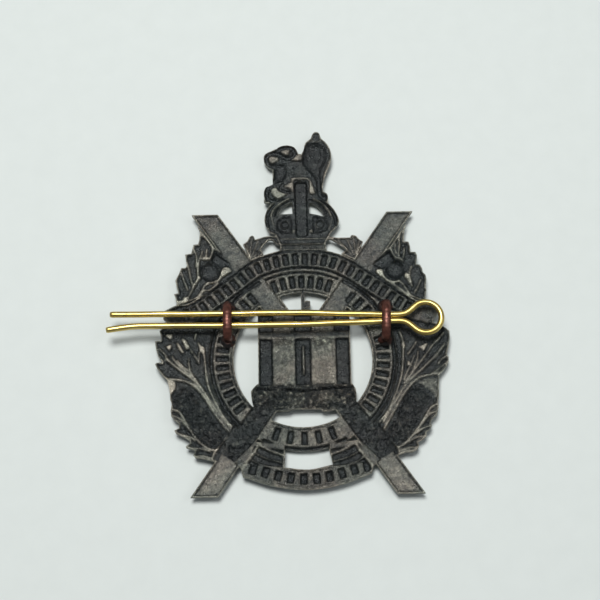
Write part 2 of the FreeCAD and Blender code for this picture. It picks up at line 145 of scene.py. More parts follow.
class Canvas:
    """Maps over the badge: inside distance, depth of the hollows, brightness and roughness."""

    def __init__(self):
        self.x = np.arange(WEST, EAST, STEP)
        self.y = np.arange(SOUTH, NORTH, STEP)
        shape = (len(self.y), len(self.x))
        self.inside = np.full(shape, OUTSIDE)
        self.depth = np.zeros(shape)
        self.tone = np.full(shape, LAND_TONE)
        self.grain = np.full(shape, PLAIN_GRAIN)

    def window(self, line, margin):
        low, high = line.min(0) - margin, line.max(0) + margin
        cols = slice(*np.searchsorted(self.x, (low[0], high[0])))
        rows = slice(*np.searchsorted(self.y, (low[1], high[1])))
        gx, gy = np.meshgrid(self.x[cols], self.y[rows])
        return (rows, cols), gx, gy

    def distance(self, line, margin, closed=True):
        """Distance to a line; for a closed one it is positive inside and negative outside."""
        where, gx, gy = self.window(line, margin)
        nearest = np.full(gx.shape, 1e9)
        within = np.zeros(gx.shape, bool)
        ends = np.roll(line, -1, 0) if closed else line[1:]
        for (ax, ay), (bx, by) in zip(line, ends):
            ux, uy = bx - ax, by - ay
            along = np.clip(((gx - ax) * ux + (gy - ay) * uy) / (ux * ux + uy * uy + 1e-12), 0, 1)
            nearest = np.minimum(nearest, (gx - ax - along * ux) ** 2 + (gy - ay - along * uy) ** 2)
            if closed and ay != by:
                crosses = (ay > gy) != (by > gy)
                within ^= crosses & (gx < ax + (gy - ay) * ux / uy)
        nearest = np.sqrt(nearest)
        return where, np.where(within, nearest, -nearest) if closed else nearest

    def add(self, line):
        where, gap = self.distance(line, 2.0)
        self.inside[where] = np.maximum(self.inside[where], gap)

    def pierce(self, line):
        where, gap = self.distance(line, 2.0)
        self.inside[where] = np.minimum(self.inside[where], -gap)

    def sink(self, line, depth, wall=0.3, inset=0.0, tone=None, grain=None, fresh=False):
        """Sink a hollow with sloping walls; fresh replaces what was there."""
        where, gap = self.distance(line, MARGIN)
        share = ease((gap - inset) / wall)
        old = self.depth[where]
        self.depth[where] = old * (1 - share) + depth * share if fresh else np.maximum(old, depth * share)
        self.paint(where, share, tone, grain)

    def bowl(self, line, depth, reach, tone=None, grain=None):
        """Sink a rounded hollow that keeps falling until it is reach from its edge."""
        where, gap = self.distance(line, MARGIN)
        fall = np.clip(gap / reach, 0, 1)
        share = np.sqrt(np.clip(1 - (1 - fall) ** 2, 0, 1))
        self.depth[where] = np.maximum(self.depth[where], depth * share)
        self.paint(where, ease(gap / 0.2), tone, grain)

    def groove(self, line, width, depth, tone=None, closed=False):
        where, gap = self.distance(line, width + MARGIN, closed)
        share = ease((width / 2 + 0.12 - np.abs(gap)) / 0.24)
        self.depth[where] = np.maximum(self.depth[where], depth * share)
        self.paint(where, share, tone, None)

    def ridge(self, line, width=0.28, strength=0.9, closed=False, tone=0.7):
        """Leave a line of metal standing in a hollow."""
        where, gap = self.distance(line, width + MARGIN, closed)
        share = ease((width / 2 + SOFT - np.abs(gap)) / (2 * SOFT))
        self.depth[where] *= 1 - strength * share
        self.paint(where, strength * share, tone, None)

    def land(self, line, wall=0.22, strength=1.0, tone=0.75):
        """Leave a patch of metal standing in a hollow."""
        where, gap = self.distance(line, MARGIN)
        share = ease(gap / wall + 0.5)
        self.depth[where] *= 1 - strength * share
        self.paint(where, strength * share, tone, None)

    def pebbles(self, line, count, small, large, height, seed, dome_highlight=0.12):
        """Scatter low domes over the floor of a hollow; the top of each dome gets a painted highlight."""
        where, gap = self.distance(line, MARGIN)
        _, gx, gy = self.window(line, MARGIN)
        draw = np.random.default_rng(seed)
        low, high = line.min(0), line.max(0)
        heap = np.zeros_like(gx)
        for _ in range(count):
            spot, size = draw.uniform(low, high), draw.uniform(small, large)
            stretch = draw.uniform(0.7, 1.4)
            away = ((gx - spot[0]) / stretch) ** 2 + ((gy - spot[1]) * stretch) ** 2
            dome = draw.uniform(0.5, 1.0) * np.sqrt(np.clip(1 - away / size**2, 0, 1))
            heap = np.maximum(heap, dome)
        share = heap * ease(gap / 0.35)
        self.depth[where] -= np.minimum(height * share, self.depth[where])
        # painted highlight: the tops of the domes are painted lighter
        self.tone[where] += dome_highlight * ease(share * 2 - 0.9)

    def paint(self, where, share, tone, grain):
        if tone is not None:
            self.tone[where] = self.tone[where] * (1 - share) + tone * share
        if grain is not None:
            self.grain[where] = self.grain[where] * (1 - share) + grain * share


# --- relief: saltire, ring and scrolls
# Depths of the hollows, mm.
BAR_DEPTH, CROSSING_DEPTH, STEP_DEPTH = 0.42, 0.75, 0.95
WREATH_DEPTH, BALL_DEPTH, TUFT_DEPTH, THISTLE_DEPTH = 0.62, 1.25, 0.95, 1.15
RING_BLOCK_DEPTH, SCROLL_BLOCK_DEPTH, RIM_DEPTH, FOLD_DEPTH = 0.85, 0.8, 0.75, 0.7
WALL_DEPTH, TOWER_DEPTH, BATTLEMENT_DEPTH, ROCK_DEPTH, ROCK_TOP_DEPTH = 0.55, 1.25, 1.15, 1.05, 1.2
CROWN_DEPTH, ARCH_DEPTH, CUSHION_DEPTH, COLUMN_DEPTH, LEAF_DEPTH = 0.55, 0.95, 1.05, 1.15, 0.5
LION_DEPTH, MANE_DEPTH, RUMP_DEPTH, BODY_DEPTH, TAIL_DEPTH, LIMB_DEPTH = 0.5, 1.15, 1.1, 0.75, 0.85, 0.9
# Seeds of the random draws.
THISTLE_SEED, ROCK_SEED, BOULDER_SEED, STEP_SEED, WREATH_SEED = 21, 31, 33, 51, 61
RING = (-0.4, -1.6)
RING_IN, RING_OUT = 12.35, 16.5
TILT = math.tan(math.radians(55.4))
BAR = 2.42                    # half of a saltire bar's level width
BAR_REACH = (-25.9, 26)       # lowest and highest Y of a bar
SCROLL_EDGE = stroke((
    (-25.1, 7.7), (-23, 8.7), (-21, 8.9), (-19, 10), (-17, 11.45), (-15, 12.95), (-13, 14.45),
    (-11.2, 15.85), (-9.5, 17), (-7, 18), (-3.6, 18.85), (0, 19.1), (3.6, 18.75), (7, 17.75), (10, 16.1),
    (12, 14.7), (14, 13.25), (16, 11.85), (18, 10.3), (20.2, 8.9), (22.4, 8.4), (24.3, 7.3)))


def bar(side, south, north, half=BAR):
    """A stretch of one bar of the saltire; side +1 rises to +X."""
    low, high = side * south / TILT, side * north / TILT
    return sharp(((low - half, south), (low + half, south), (high + half, north), (high - half, north)))


def offset(line, gap):
    """The same open line moved to its right by gap."""
    run = np.gradient(line, axis=0)
    run /= np.linalg.norm(run, axis=1)[:, None]
    return line + gap * np.column_stack((run[:, 1], -run[:, 0]))


def along(line, places):
    """Points and headings at given distances along a line."""
    steps = np.linalg.norm(np.diff(line, axis=0), axis=1)
    ruler = np.concatenate(((0,), np.cumsum(steps)))
    spots = np.column_stack([np.interp(places, ruler, line[:, k]) for k in (0, 1)])
    ahead = np.column_stack([np.interp(np.add(places, 0.2), ruler, line[:, k]) for k in (0, 1)])
    run = ahead - spots
    return spots, run / np.linalg.norm(run, axis=1)[:, None]


def block(spot, run, half_width, half_height):
    """A plain upright block on a band, centred on a spot, its sides square to the band."""
    side = np.array((-run[1], run[0]))
    corners = ((-1, -1), (1, -1), (1, 1), (-1, 1))
    return np.array([spot + run * u * half_width + side * v * half_height for u, v in corners])


SCROLL_TOP = np.vstack((SCROLL_EDGE, sharp((
    (24, 6.2), (23.2, 5.2), (16.9, 4.6), (0, 14.4), (-16.9, 4.6), (-24.2, 5.4), (-25.3, 6.2)))))
SCROLL_BOTTOM = curve((
    (-12.8, -19.8, 1), (-11.6, -21, 1), (-11.2, -22.5, 1), (-6, -24.2), (0, -24.95), (6, -24.1),
    (11.1, -22.3, 1), (11.5, -21, 1), (12.8, -19.8, 1), (9.2, -16.4, 1), (3.8, -16.8, 1), (3.85, -18, 1),
    (4.45, -20.6, 1), (0.2, -21.4), (-4, -20.95, 1), (-3.8, -18.1, 1), (-3.8, -16.8, 1), (-9.2, -16.4, 1)))

# --- relief: outlines of the charges
WREATH_UPPER_LEFT = sharp((
    (-19.3, 24), (-18.75, 22.6), (-18.9, 21), (-19.1, 20.3), (-19.95, 20.2), (-20.15, 19.3), (-20.35, 18.5),
    (-21.45, 18.35), (-21.3, 17.2), (-21.1, 16.2), (-21.4, 15.8), (-22.15, 15.75), (-22.5, 14.8),
    (-23.2, 13.4), (-22.95, 12.2), (-22.6, 11), (-23.4, 10.85), (-23.1, 10), (-22.9, 9.1), (-23, 8.6),
    (-15, 11.5), (-10.5, 15.5), (-12.5, 17.3), (-16, 19.4)))
WREATH_UPPER_RIGHT = sharp((
    (19.2, 23.8), (18.75, 22.5), (18.5, 21), (18.45, 20.1), (19.3, 20.05), (19.55, 19.2), (19.55, 18.05),
    (20.5, 18.05), (20.75, 17.4), (20.65, 16.5), (20.5, 15.7), (21.2, 15.6), (21.55, 14.9), (21.65, 14.1),
    (22.1, 13.7), (22.25, 12.9), (22.05, 11.6), (22.15, 10.6), (21.9, 9.5), (22.2, 8.4), (15, 11.3),
    (10.5, 15.2), (12.5, 16.4), (16, 19.2)))
WREATH_LOWER_LEFT = sharp((
    (-13, 7), (-25, 6.6), (-24.1, 5.4), (-25.1, 4.7), (-25.95, 4), (-25.6, 2.8), (-25.7, 2.15),
    (-26.75, 2.15), (-26.5, 0.6), (-26.1, -0.7), (-25.35, -1.8), (-26.4, -1.85), (-26.65, -2.15),
    (-26.2, -3), (-25.4, -4.1), (-24.6, -4.9), (-24.2, -6), (-23.95, -7.6), (-23.9, -8.6), (-23.6, -9.3),
    (-23.8, -10.6), (-23.7, -11.5), (-23.3, -12.1), (-22.3, -12.9), (-22.3, -13.7), (-23.15, -14.1),
    (-22.8, -14.7), (-21.7, -15.2), (-20.5, -15.9), (-20.3, -16.4), (-21.15, -16.95), (-21, -17.25),
    (-19.4, -17.8), (-19.8, -18.5), (-19.4, -19.05), (-18.2, -19.2), (-15.4, -19.9), (-11.4, -13.5),
    (-13.5, -8.5), (-15.5, 0)))
WREATH_LOWER_RIGHT = sharp((
    (13, 7), (23.6, 6.4), (23.3, 5.4), (23, 4.7), (24, 4.3), (25.1, 3.7), (25.9, 3), (25.85, 1.6),
    (25.6, 0.2), (25.2, -1.2), (25.5, -1.9), (25.45, -2.6), (25.1, -3.4), (24.3, -4.4), (23.7, -5.1),
    (23.5, -7), (23.4, -9), (23.2, -9.8), (23.25, -10.8), (22.9, -12.2), (22, -13), (21.7, -13.6),
    (21.95, -14.1), (21.6, -14.8), (20.85, -15.3), (20.9, -16), (20, -16.7), (19.3, -17), (19.5, -17.6),
    (19.2, -18.3), (18.2, -18.75), (17, -18.8), (15.2, -19.5), (11.2, -13.3), (13.5, -8.5), (15.5, 0)))
WREATH = (WREATH_UPPER_LEFT, WREATH_UPPER_RIGHT, WREATH_LOWER_LEFT, WREATH_LOWER_RIGHT)
ROCK = sharp((
    (-8.6, -6.1), (-9.2, -6.7), (-9.7, -7.4), (-9.6, -8.4), (-9.4, -9.6), (-7.4, -10.2), (-6.2, -10.8),
    (-5.2, -11.1), (-3, -11.1), (-2.5, -10.8), (0, -10.75), (2.5, -10.8), (3, -11.25), (4.9, -11),
    (6.4, -10.6), (8.8, -9.6), (8.9, -8.6), (8.8, -7.2), (8.1, -6.1)))
CASTLE = box(-8.35, -6.6, 8.1, 6.8)
FLAG = sharp((
    (-0.5, 6), (0.1, 6), (0.1, 7.9), (0.7, 7.85), (1.15, 8.1), (1.1, 9.1), (0.5, 9.2), (0.1, 9),
    (0.1, 11.2), (-0.5, 11.2)))
CROWN = curve((
    (-4.4, 18.2, 1), (-4.1, 19.6), (-4.5, 20.8), (-5.1, 21.9), (-6, 22.3), (-6.6, 23.5), (-6.95, 24.8),
    (-6.5, 26.6), (-5.6, 27.9), (-4.2, 28.8), (-2.4, 29.8), (-1.5, 30.2, 1), (-1.45, 32.1, 1), (-1, 32.7),
    (0.9, 32.7), (1.4, 32, 1), (1.35, 30.2, 1), (2.6, 29.6), (4.2, 28.5), (5.6, 27), (6.4, 25.6),
    (6.75, 24.2), (6.1, 23), (5.3, 22.2), (4.7, 21.2), (4.2, 20.2), (4.4, 18.4, 1)))
CROWN_LEFT_WINDOW = curve((
    (-1.75, 26.05, 1), (-4.55, 26.05, 1), (-3.7, 27.2), (-2.7, 27.9), (-1.85, 28.3, 1)))
CROWN_RIGHT_WINDOW = curve((
    (1.35, 28.15, 1), (1.35, 26.1, 1), (2.6, 25.85), (3.9, 25.45, 1), (3.6, 26.6), (2.8, 27.5),
    (2.1, 27.95)))
LION = curve((
    (-6.3, 28.1), (-6.9, 29.2), (-6.95, 30.4), (-6.4, 31.5), (-5.3, 32.15, 1), (-5.3, 34.9, 1),
    (-6.2, 35.4), (-6.85, 36.4), (-6.85, 37.5), (-6.2, 38.2), (-5, 38.7), (-4, 39.3), (-2.8, 39.6),
    (-1.6, 39.4), (-0.9, 38.8), (-0.5, 37.85, 1), (0.1, 37.7, 1), (0.5, 38.6), (0.75, 39.6), (1.1, 40.2),
    (1.9, 40.9), (2.2, 41.7), (2.8, 42.2), (3.5, 41.9), (3.85, 40.9), (4.7, 40), (5.4, 38.8), (5.7, 37.2),
    (5.4, 35.6), (4.7, 34), (4.2, 32.4), (3.95, 31), (4, 30.2, 1), (4.7, 29.7), (4.85, 28.9),
    (4.8, 27.9, 1), (0, 29.4, 1)))
CROWN_LEAF_LEFT = curve((
    (-4.6, 21.5, 1), (-6.4, 21.6), (-8, 21.2, 1), (-8.7, 21, 1), (-9, 21.7), (-9.6, 21.6), (-10.1, 20.7, 1),
    (-10.9, 20.1, 1), (-9.4, 17, 1), (-7.2, 18.2, 1), (-7.7, 19.1, 1), (-7, 20.1), (-6.2, 20.85),
    (-5.5, 20.85), (-4.9, 20.1), (-4, 19.9, 1)))
CROWN_LEAF_RIGHT = curve((
    (4.6, 21.4, 1), (6.2, 21.1), (8, 21.05, 1), (8.7, 21.05, 1), (8.95, 21.5), (9.7, 21.4), (10.3, 20.7, 1),
    (11, 20.2, 1), (9.4, 16.8, 1), (7, 18, 1), (8.05, 18.7, 1), (7.1, 19.5), (6, 20.3), (4.95, 20.9),
    (4.3, 20.5), (3.9, 20, 1)))
BALL_LEFT = circle((-16.95, 15), 2)
BALL_RIGHT = circle((16.65, 14.8), 1.95)
TUFT_LEFT = curve((
    (-16.2, 19, 1), (-14.8, 18), (-13.1, 16.8, 1), (-13.1, 16.1), (-13.7, 15.95), (-14.9, 15.4, 1),
    (-16.4, 16.6, 1), (-17, 17.2, 1), (-16.5, 18)))
TUFT_RIGHT = curve((
    (16, 18.7, 1), (14.6, 17.8), (12.9, 16.6, 1), (12.6, 16), (13.2, 15.35), (14.8, 14.9, 1),
    (16.2, 16.4, 1), (16.9, 16.8, 1), (16.3, 17.7)))
THISTLE_LEFT = curve((
    (-23.6, -8.7), (-22.9, -7.2), (-22, -6.3), (-21, -6.1), (-20, -6.8), (-18.9, -8.2), (-17.5, -10.2),
    (-16.2, -12.1), (-14.6, -14.2), (-14.3, -15.5), (-15, -16.8), (-16.2, -17.5), (-17.4, -17.1),
    (-18.7, -16.1), (-19.9, -14.6), (-20.8, -13), (-21.8, -11.2), (-22.9, -10.1), (-23.5, -9.7)))
THISTLE_RIGHT = curve((
    (22.1, -8.9), (21.1, -7.9), (20, -6.9), (18.7, -6.9), (17.6, -8.2), (16.7, -9.8), (15.8, -11.6),
    (14.8, -13.3), (13.8, -14.9), (14.3, -16), (15.1, -16.8), (15.9, -17.3), (16.9, -17), (17.9, -16),
    (18.8, -14.6), (19.6, -13.2), (20.4, -11.5), (21.3, -10.2)))

# Veins and edges left standing in the wreath: width, then the line.
VEINS = (
    # upper left
    (0.3, (-18.5, 22.1), (-17.6, 21.4), (-17.1, 20.7), (-16.7, 20), (-16.45, 19.3), (-16.6, 18.4),
     (-16.9, 17.5)),
    (0.24, (-17.5, 19.3), (-17.6, 18.5), (-17.6, 17.7)),
    (0.26, (-18.3, 18.9), (-18.6, 17.9), (-18.95, 16.8), (-19.1, 15.6), (-19.1, 14.4), (-18.9, 13.8)),
    (0.24, (-20.9, 16.1), (-20.6, 14.7), (-20.35, 13.5), (-20, 12.3)),
    (0.28, (-19.2, 13.4), (-19.8, 12.3), (-20.3, 11.2), (-20.7, 10.4), (-21.15, 9.5), (-21.25, 8.4)),
    (0.34, (-20.9, 8.9), (-20.1, 9.35), (-19.2, 10.1), (-18.6, 10.9), (-18.15, 11.8), (-17.6, 12.6),
     (-16.9, 12.95), (-15.9, 13.05), (-15.1, 13.5)),
    (0.26, (-18.9, 10.4), (-18, 11.35), (-17, 11.5), (-16.2, 12.1), (-15.5, 12.7)),
    (0.22, (-20, 19.6), (-19.4, 18), (-19.4, 16)),
    (0.2, (-22.1, 14.9), (-21.5, 13), (-20.9, 11.6)),
    # upper right
    (0.3, (18.1, 22), (17.2, 20.9), (16.5, 20), (16.1, 19.2), (16.1, 18.4), (16.5, 17.5), (16.95, 17),
     (17.5, 16.9), (18.1, 16.45)),
    (0.2, (17.7, 21.2), (17.65, 19.6), (17.5, 18.4), (17.5, 17.4)),
    (0.2, (18.5, 18.9), (18.4, 17.8), (18.2, 17)),
    (0.16, (16.95, 19.7), (16.8, 18.8), (17, 17.8)),
    (0.24, (19.7, 15.3), (19.35, 14.5), (19.25, 13.5), (19.5, 12.2)),
    (0.2, (18.5, 13.3), (19, 12.5), (19.6, 11.6)),
    (0.2, (21.2, 12.7), (20.8, 11.8), (20.4, 11), (20, 10.4)),
    (0.28, (17.3, 12.6), (17.9, 12), (18.5, 11.1), (19, 10.2), (19.8, 9.2)),
    (0.3, (15.2, 12.7), (16.4, 11.85), (17.6, 10.95), (18.7, 10), (19.6, 9.2)),
    # lower left
    (0.36, (-24.5, -4.85), (-22.9, -4.95), (-21.2, -5.35), (-19.8, -6.1), (-18.6, -7.3), (-17.4, -9),
     (-16, -11.3), (-14.8, -13), (-13.7, -14.3)),
    (0.34, (-24.7, -1.2), (-23.6, -2.1), (-22.2, -3.3), (-20.8, -4.4), (-19.2, -5.8), (-17.8, -7.5),
     (-16.3, -9.9), (-14.6, -12.3), (-13.4, -13.8)),
    (0.3, (-18.5, 0.2), (-18, -0.5), (-17.75, -2.4), (-17.5, -4.6), (-17.1, -6.6), (-16.2, -8.7),
     (-15.1, -10.8), (-14, -12.5), (-13, -13.6)),
    (0.24, (-23.6, -0.8), (-23, -1.8), (-21.9, -2.9), (-20.8, -3.9), (-20.2, -4.6)),
    (0.2, (-22.7, -1.5), (-21.7, -2.6), (-20.7, -3.4), (-19.9, -4.5)),
    (0.22, (-20.3, 0.3), (-19.8, -0.4), (-19.3, -1.2), (-18.9, -2)),
    (0.18, (-18.8, -0.1), (-18.85, -1), (-18.85, -1.9)),
    (0.2, (-20.7, -1.2), (-20.6, -2.6), (-20, -4.2), (-18.9, -5.8), (-18, -7.1)),
    (0.22, (-25.9, 0.7), (-25, -0.3), (-24.3, -1.4)),
    (0.4, (-23.3, -10.4), (-22.2, -10.9), (-21.4, -12.1), (-20.5, -13.5), (-19.7, -15), (-18.6, -16.3),
     (-17.4, -17.3), (-15.9, -17.8)),
    (0.26, (-23.5, -11.4), (-22.3, -12), (-21.5, -12.8), (-20.6, -14)),
    (0.24, (-23, -14.35), (-21.6, -14.9), (-20.4, -15.3), (-19.5, -16)),
    (0.24, (-21, -17.1), (-19.6, -17.3), (-18.2, -17.5), (-16.9, -17.9)),
    (0.24, (-19.7, -18.8), (-18.2, -18.7), (-16.6, -19.1)),
    (0.3, (-13, -14), (-13.7, -15.2), (-14.6, -16.4), (-15.5, -17.4), (-16.2, -18.3), (-16.5, -19.4)),
    # lower right
    (0.36, (24.5, -4.4), (23, -4.85), (21.4, -5.05), (20, -5.5), (18.6, -6.6), (17.4, -8.1), (16.2, -10),
     (15, -12), (13.7, -14.2), (13.2, -14.9)),
    (0.32, (24.9, 0.6), (24.2, -0.3), (23.2, -1.5), (21.9, -2.7), (20.5, -4), (18.9, -5.4), (17.4, -7),
     (16.1, -9), (14.7, -11.3), (13.5, -13.3)),
    (0.26, (24.8, 2.7), (23.9, 1.6), (22.6, 0.3), (21.4, -1.3), (20.1, -3), (18.8, -4.7), (17.4, -6.4)),
    (0.28, (17, 3), (17.4, 1.6), (17.5, 0.2), (17.4, -1.6), (17.2, -3.6), (16.8, -5.6), (16.1, -7.6),
     (15.2, -9.6), (14, -11.8), (12.6, -13.4)),
    (0.24, (19.9, 1.1), (19.3, 0.2), (18.8, -0.5), (18.3, -1.1)),
    (0.2, (20.1, -0.6), (19.9, -2), (19.2, -3.6), (18.2, -5.2)),
    (0.2, (19.4, -1.4), (18.8, -2.9), (18, -4.4), (17.4, -5.8)),
    (0.22, (25.2, -2.6), (24.4, -3.3), (23.4, -4.1), (22.4, -4.7)),
    (0.22, (25.1, -1.7), (24.2, -2.2), (23.6, -3)),
    (0.36, (22.9, -10.3), (21.9, -10.9), (21, -12.2), (20.1, -13.6), (19.1, -15), (18, -16.3), (17, -17.2),
     (15.8, -17.9)),
    (0.28, (22.8, -11.6), (21.7, -12), (20.6, -13.2), (19.6, -14.4)),
    (0.24, (21.7, -14.1), (20.4, -14.5), (19.2, -15.4)),
    (0.22, (20.6, -15.9), (19.2, -16.1), (17.8, -16.9)),
    (0.26, (19.3, -17.9), (17.8, -17.9), (16.4, -18.3)),
    (0.2, (18.8, -18.5), (17.4, -18.4), (16.4, -18.8)),
    (0.3, (12.2, -13.4), (13.2, -14.8), (14.1, -16), (15, -17.1), (15.8, -18), (16.1, -18.9)),
)
# Patches of plain metal left standing in the wreath.
LANDS = (
    ((-18.1, 17.9), (-17.1, 17.7), (-16.9, 17.3), (-17.7, 17.15), (-18.4, 17.3)),
    ((-19.2, 14.2), (-18.7, 14), (-18.6, 13.7), (-19.1, 13.2), (-19.9, 12.1), (-20.15, 12.3),
     (-19.4, 13.4)),
    ((-21.6, 10.3), (-21, 10.2), (-20.95, 9.3), (-21.2, 8.3), (-21.5, 8.6), (-22.1, 9.15), (-22.8, 9.1),
     (-22.8, 9.6), (-21.9, 9.7)),
    ((-14.9, 15), (-14.5, 15.75), (-13.7, 15.8), (-13.1, 15.3), (-13, 14.9), (-14, 14.3), (-14.9, 13.7),
     (-15.6, 13.2), (-15.1, 14.3)),
    ((13.2, 14.7), (13.9, 14.95), (14.4, 14.7), (14.6, 13.9), (15.1, 13.1), (15.6, 12.8), (16.4, 12.6),
     (17.4, 12.7), (17.1, 12.25), (16.2, 12.1), (15.2, 12.4), (14.1, 13.4), (13.2, 14.2)),
    ((18.4, 14.1), (18.9, 14), (19.4, 13.3), (19.6, 12.2), (19.3, 12.3), (18.9, 13), (18.3, 13.4)),
    ((-24.9, 3.3), (-24.3, 2.5), (-23.8, 2.3), (-23.6, 3.3)),
    ((-24.8, 1.2), (-24.2, 0.3), (-23.8, 0.9), (-23.9, 1.5), (-24.5, 1.2)),
    ((-22, 2.4), (-21.3, 2.3), (-20.4, 0.85), (-20.5, 0.6), (-21.2, 0.45), (-21.5, 1.2)),
    ((-22.9, 1.6), (-22.5, 1.7), (-21.6, 0.2), (-21.5, -0.2), (-22, -0.1), (-22.6, 0.7)),
    ((-19.1, 1.8), (-18.6, 1.3), (-17.9, 0.7), (-17.8, -0.3), (-18.2, -0.3), (-18.7, 0.1), (-18.9, 0.8)),
    ((-19.6, 3.4), (-19.2, 3.4), (-19.5, 2.3), (-19.75, 2.4)),
    ((-24.3, -5.2), (-23.1, -5.4), (-22.9, -6.4), (-23.5, -7.4), (-24, -7.5)),
    ((17.2, 0.9), (17.7, 1.1), (17.9, 0.4), (17.6, -0.1), (17.3, 0.2)),
    ((20.2, 0.3), (20.8, 0.4), (21.4, 0.8), (21.9, 0.7), (21.2, -0.5), (20.8, -0.4)),
    ((18.2, -2.3), (18.6, -2.6), (18.4, -3.2), (18, -3.1)),
)


def draw_silhouette(c):
    for line in (bar(1, *BAR_REACH), bar(-1, *BAR_REACH), SCROLL_TOP, SCROLL_BOTTOM, *WREATH,
                 CROWN, LION, CROWN_LEAF_LEFT, CROWN_LEAF_RIGHT):
        c.add(line)
    where, gx, gy = c.window(circle(RING, RING_OUT), 2)
    radius = np.hypot(gx - RING[0], gy - RING[1])
    ring = np.minimum(RING_OUT - radius, radius - RING_IN)
    c.inside[where] = np.maximum(c.inside[where], ring)
    for line in (CASTLE, ROCK, FLAG):
        c.add(line)
    for line in (CROWN_LEFT_WINDOW, CROWN_RIGHT_WINDOW):
        c.pierce(line)


def draw_saltire(c):
    for side in (-1, 1):
        c.sink(bar(side, *BAR_REACH), BAR_DEPTH, wall=0.3, inset=0.18, tone=0.28, grain=0.35)
        c.sink(bar(side, BAR_REACH[0], -17), BAR_DEPTH, wall=0.3, inset=0.18, tone=0.42, grain=0.35)
        c.sink(bar(side, -18, -10), CROSSING_DEPTH, wall=0.3, inset=0.12, tone=0.08, grain=1.6)
        for south, north in ((-25.45, -19.2), (18.5, 25.5)):
            c.groove(bar(side, south, north, BAR - 0.48), 0.1, 0.52, tone=0.05, closed=True)
    step_left = sharp(((-15.8, -17.9), (-12.1, -20.4), (-5, -10.6), (-9.8, -8.6)))
    step_right = sharp(((15.9, -18.1), (12, -20.4), (5, -10.6), (9.8, -8.6)))
    for seed, line in enumerate((step_left, step_right), STEP_SEED):
        c.sink(line, STEP_DEPTH, wall=0.35, tone=0.04, grain=1.2)
        c.pebbles(line, 150, 0.3, 0.8, 0.5, seed)


def draw_wreath(c):
    for line in WREATH:
        c.sink(line, WREATH_DEPTH, wall=0.35, inset=0.12, tone=0.03, grain=0.7, fresh=True)
    for seed, line in enumerate(WREATH, WREATH_SEED):
        c.pebbles(line, 160, 0.4, 0.9, 0.16, seed, 0.05)
    for width, *points in VEINS:
        c.ridge(stroke(points), width + 0.1, 0.9, tone=0.66)
        c.ridge(stroke(points), width * 2 + 0.2, 0.2, tone=0.3)
    for points in LANDS:
        c.land(curve(points), tone=0.66)
    for line in (BALL_LEFT, BALL_RIGHT):
        c.bowl(line, BALL_DEPTH, 1.5, tone=DARK, grain=0.3)
    for line in (TUFT_LEFT, TUFT_RIGHT):
        c.sink(line, TUFT_DEPTH, wall=0.35, tone=DARK, grain=0.3)
    for seed, line in enumerate((THISTLE_LEFT, THISTLE_RIGHT), THISTLE_SEED):
        c.bowl(line, THISTLE_DEPTH, 1.2, tone=0.04, grain=1.6)
        c.pebbles(line, 330, 0.2, 0.5, 0.45, seed)
    c.sink(sharp(((23.2, -5.3), (21, -5.5), (19.6, -6.4), (20.6, -7), (22.2, -8.3), (22.8, -9.4),
                  (23.2, -9.3), (23.4, -7))), 0.35, tone=0.35, grain=1.2, fresh=True)


def draw_ring(c):
    where, gx, gy = c.window(circle(RING, RING_OUT), 0.5)
    radius = np.hypot(gx - RING[0], gy - RING[1])
    band = ease(np.minimum(RING_OUT + 0.3 - radius, radius - RING_IN) / 0.15 + 0.5) * crossing_mask(gx, gy)
    c.depth[where] = c.depth[where] * (1 - band) + 0.05 * band
    c.paint(where, band, 0.38, 1)
    for first, last in ((118, 232), (-52, 62), (-116, -64)):
        c.groove(arc(RING, RING_OUT - 0.2, first, last), 0.62, 0.85, tone=DARK)
        c.groove(arc(RING, RING_IN + 0.42, first, last), 0.2, 0.45, tone=0.1)
    c.groove(arc(RING, RING_OUT - 0.35, 66, 114), 0.3, 0.7, tone=DARK)
    c.groove(arc(RING, RING_IN + 0.22, 70, 110), 0.2, 0.45, tone=0.05)
    reach = (RING_IN + RING_OUT) / 2 - 0.1
    for first, last, count in RING_ROWS:
        for angle in np.radians(np.linspace(first, last, count)):
            out = np.array((math.cos(angle), math.sin(angle)))
            run = np.array((out[1], -out[0]))
            line = block(RING + reach * out, run, BLOCK_HALF, BLOCK_TALL)
            c.sink(line, RING_BLOCK_DEPTH, wall=0.28, tone=DARK, grain=0.9)


def crossing_mask(gx, gy):
    """Nought where a bar of the saltire passes over the ring, one elsewhere."""
    keep = np.ones_like(gx)
    for side in (-1, 1):
        gap = BAR - np.abs(gx - side * gy / TILT)
        keep = np.minimum(keep, 1 - ease(gap * 0.82 / 0.2 + 0.3))
    return keep


# Plain blocks that stand in for the raised work on the ring: first and last angle, and how many.
RING_ROWS = ((70, 110, 7), (128, 150, 4), (30, 52, 4), (166, 218, 9), (-38, 14, 9), (-110, -70, 5))
BLOCK_HALF, BLOCK_TALL = 0.6, 1.25    # half of a block's width and height, mm
# Plain blocks on the scrolls: where the row starts and ends along its middle line, and how many.
UPPER_ROW = (3.2, 48.6, 27)
LOWER_ROW = (1.2, 21.4, 10)


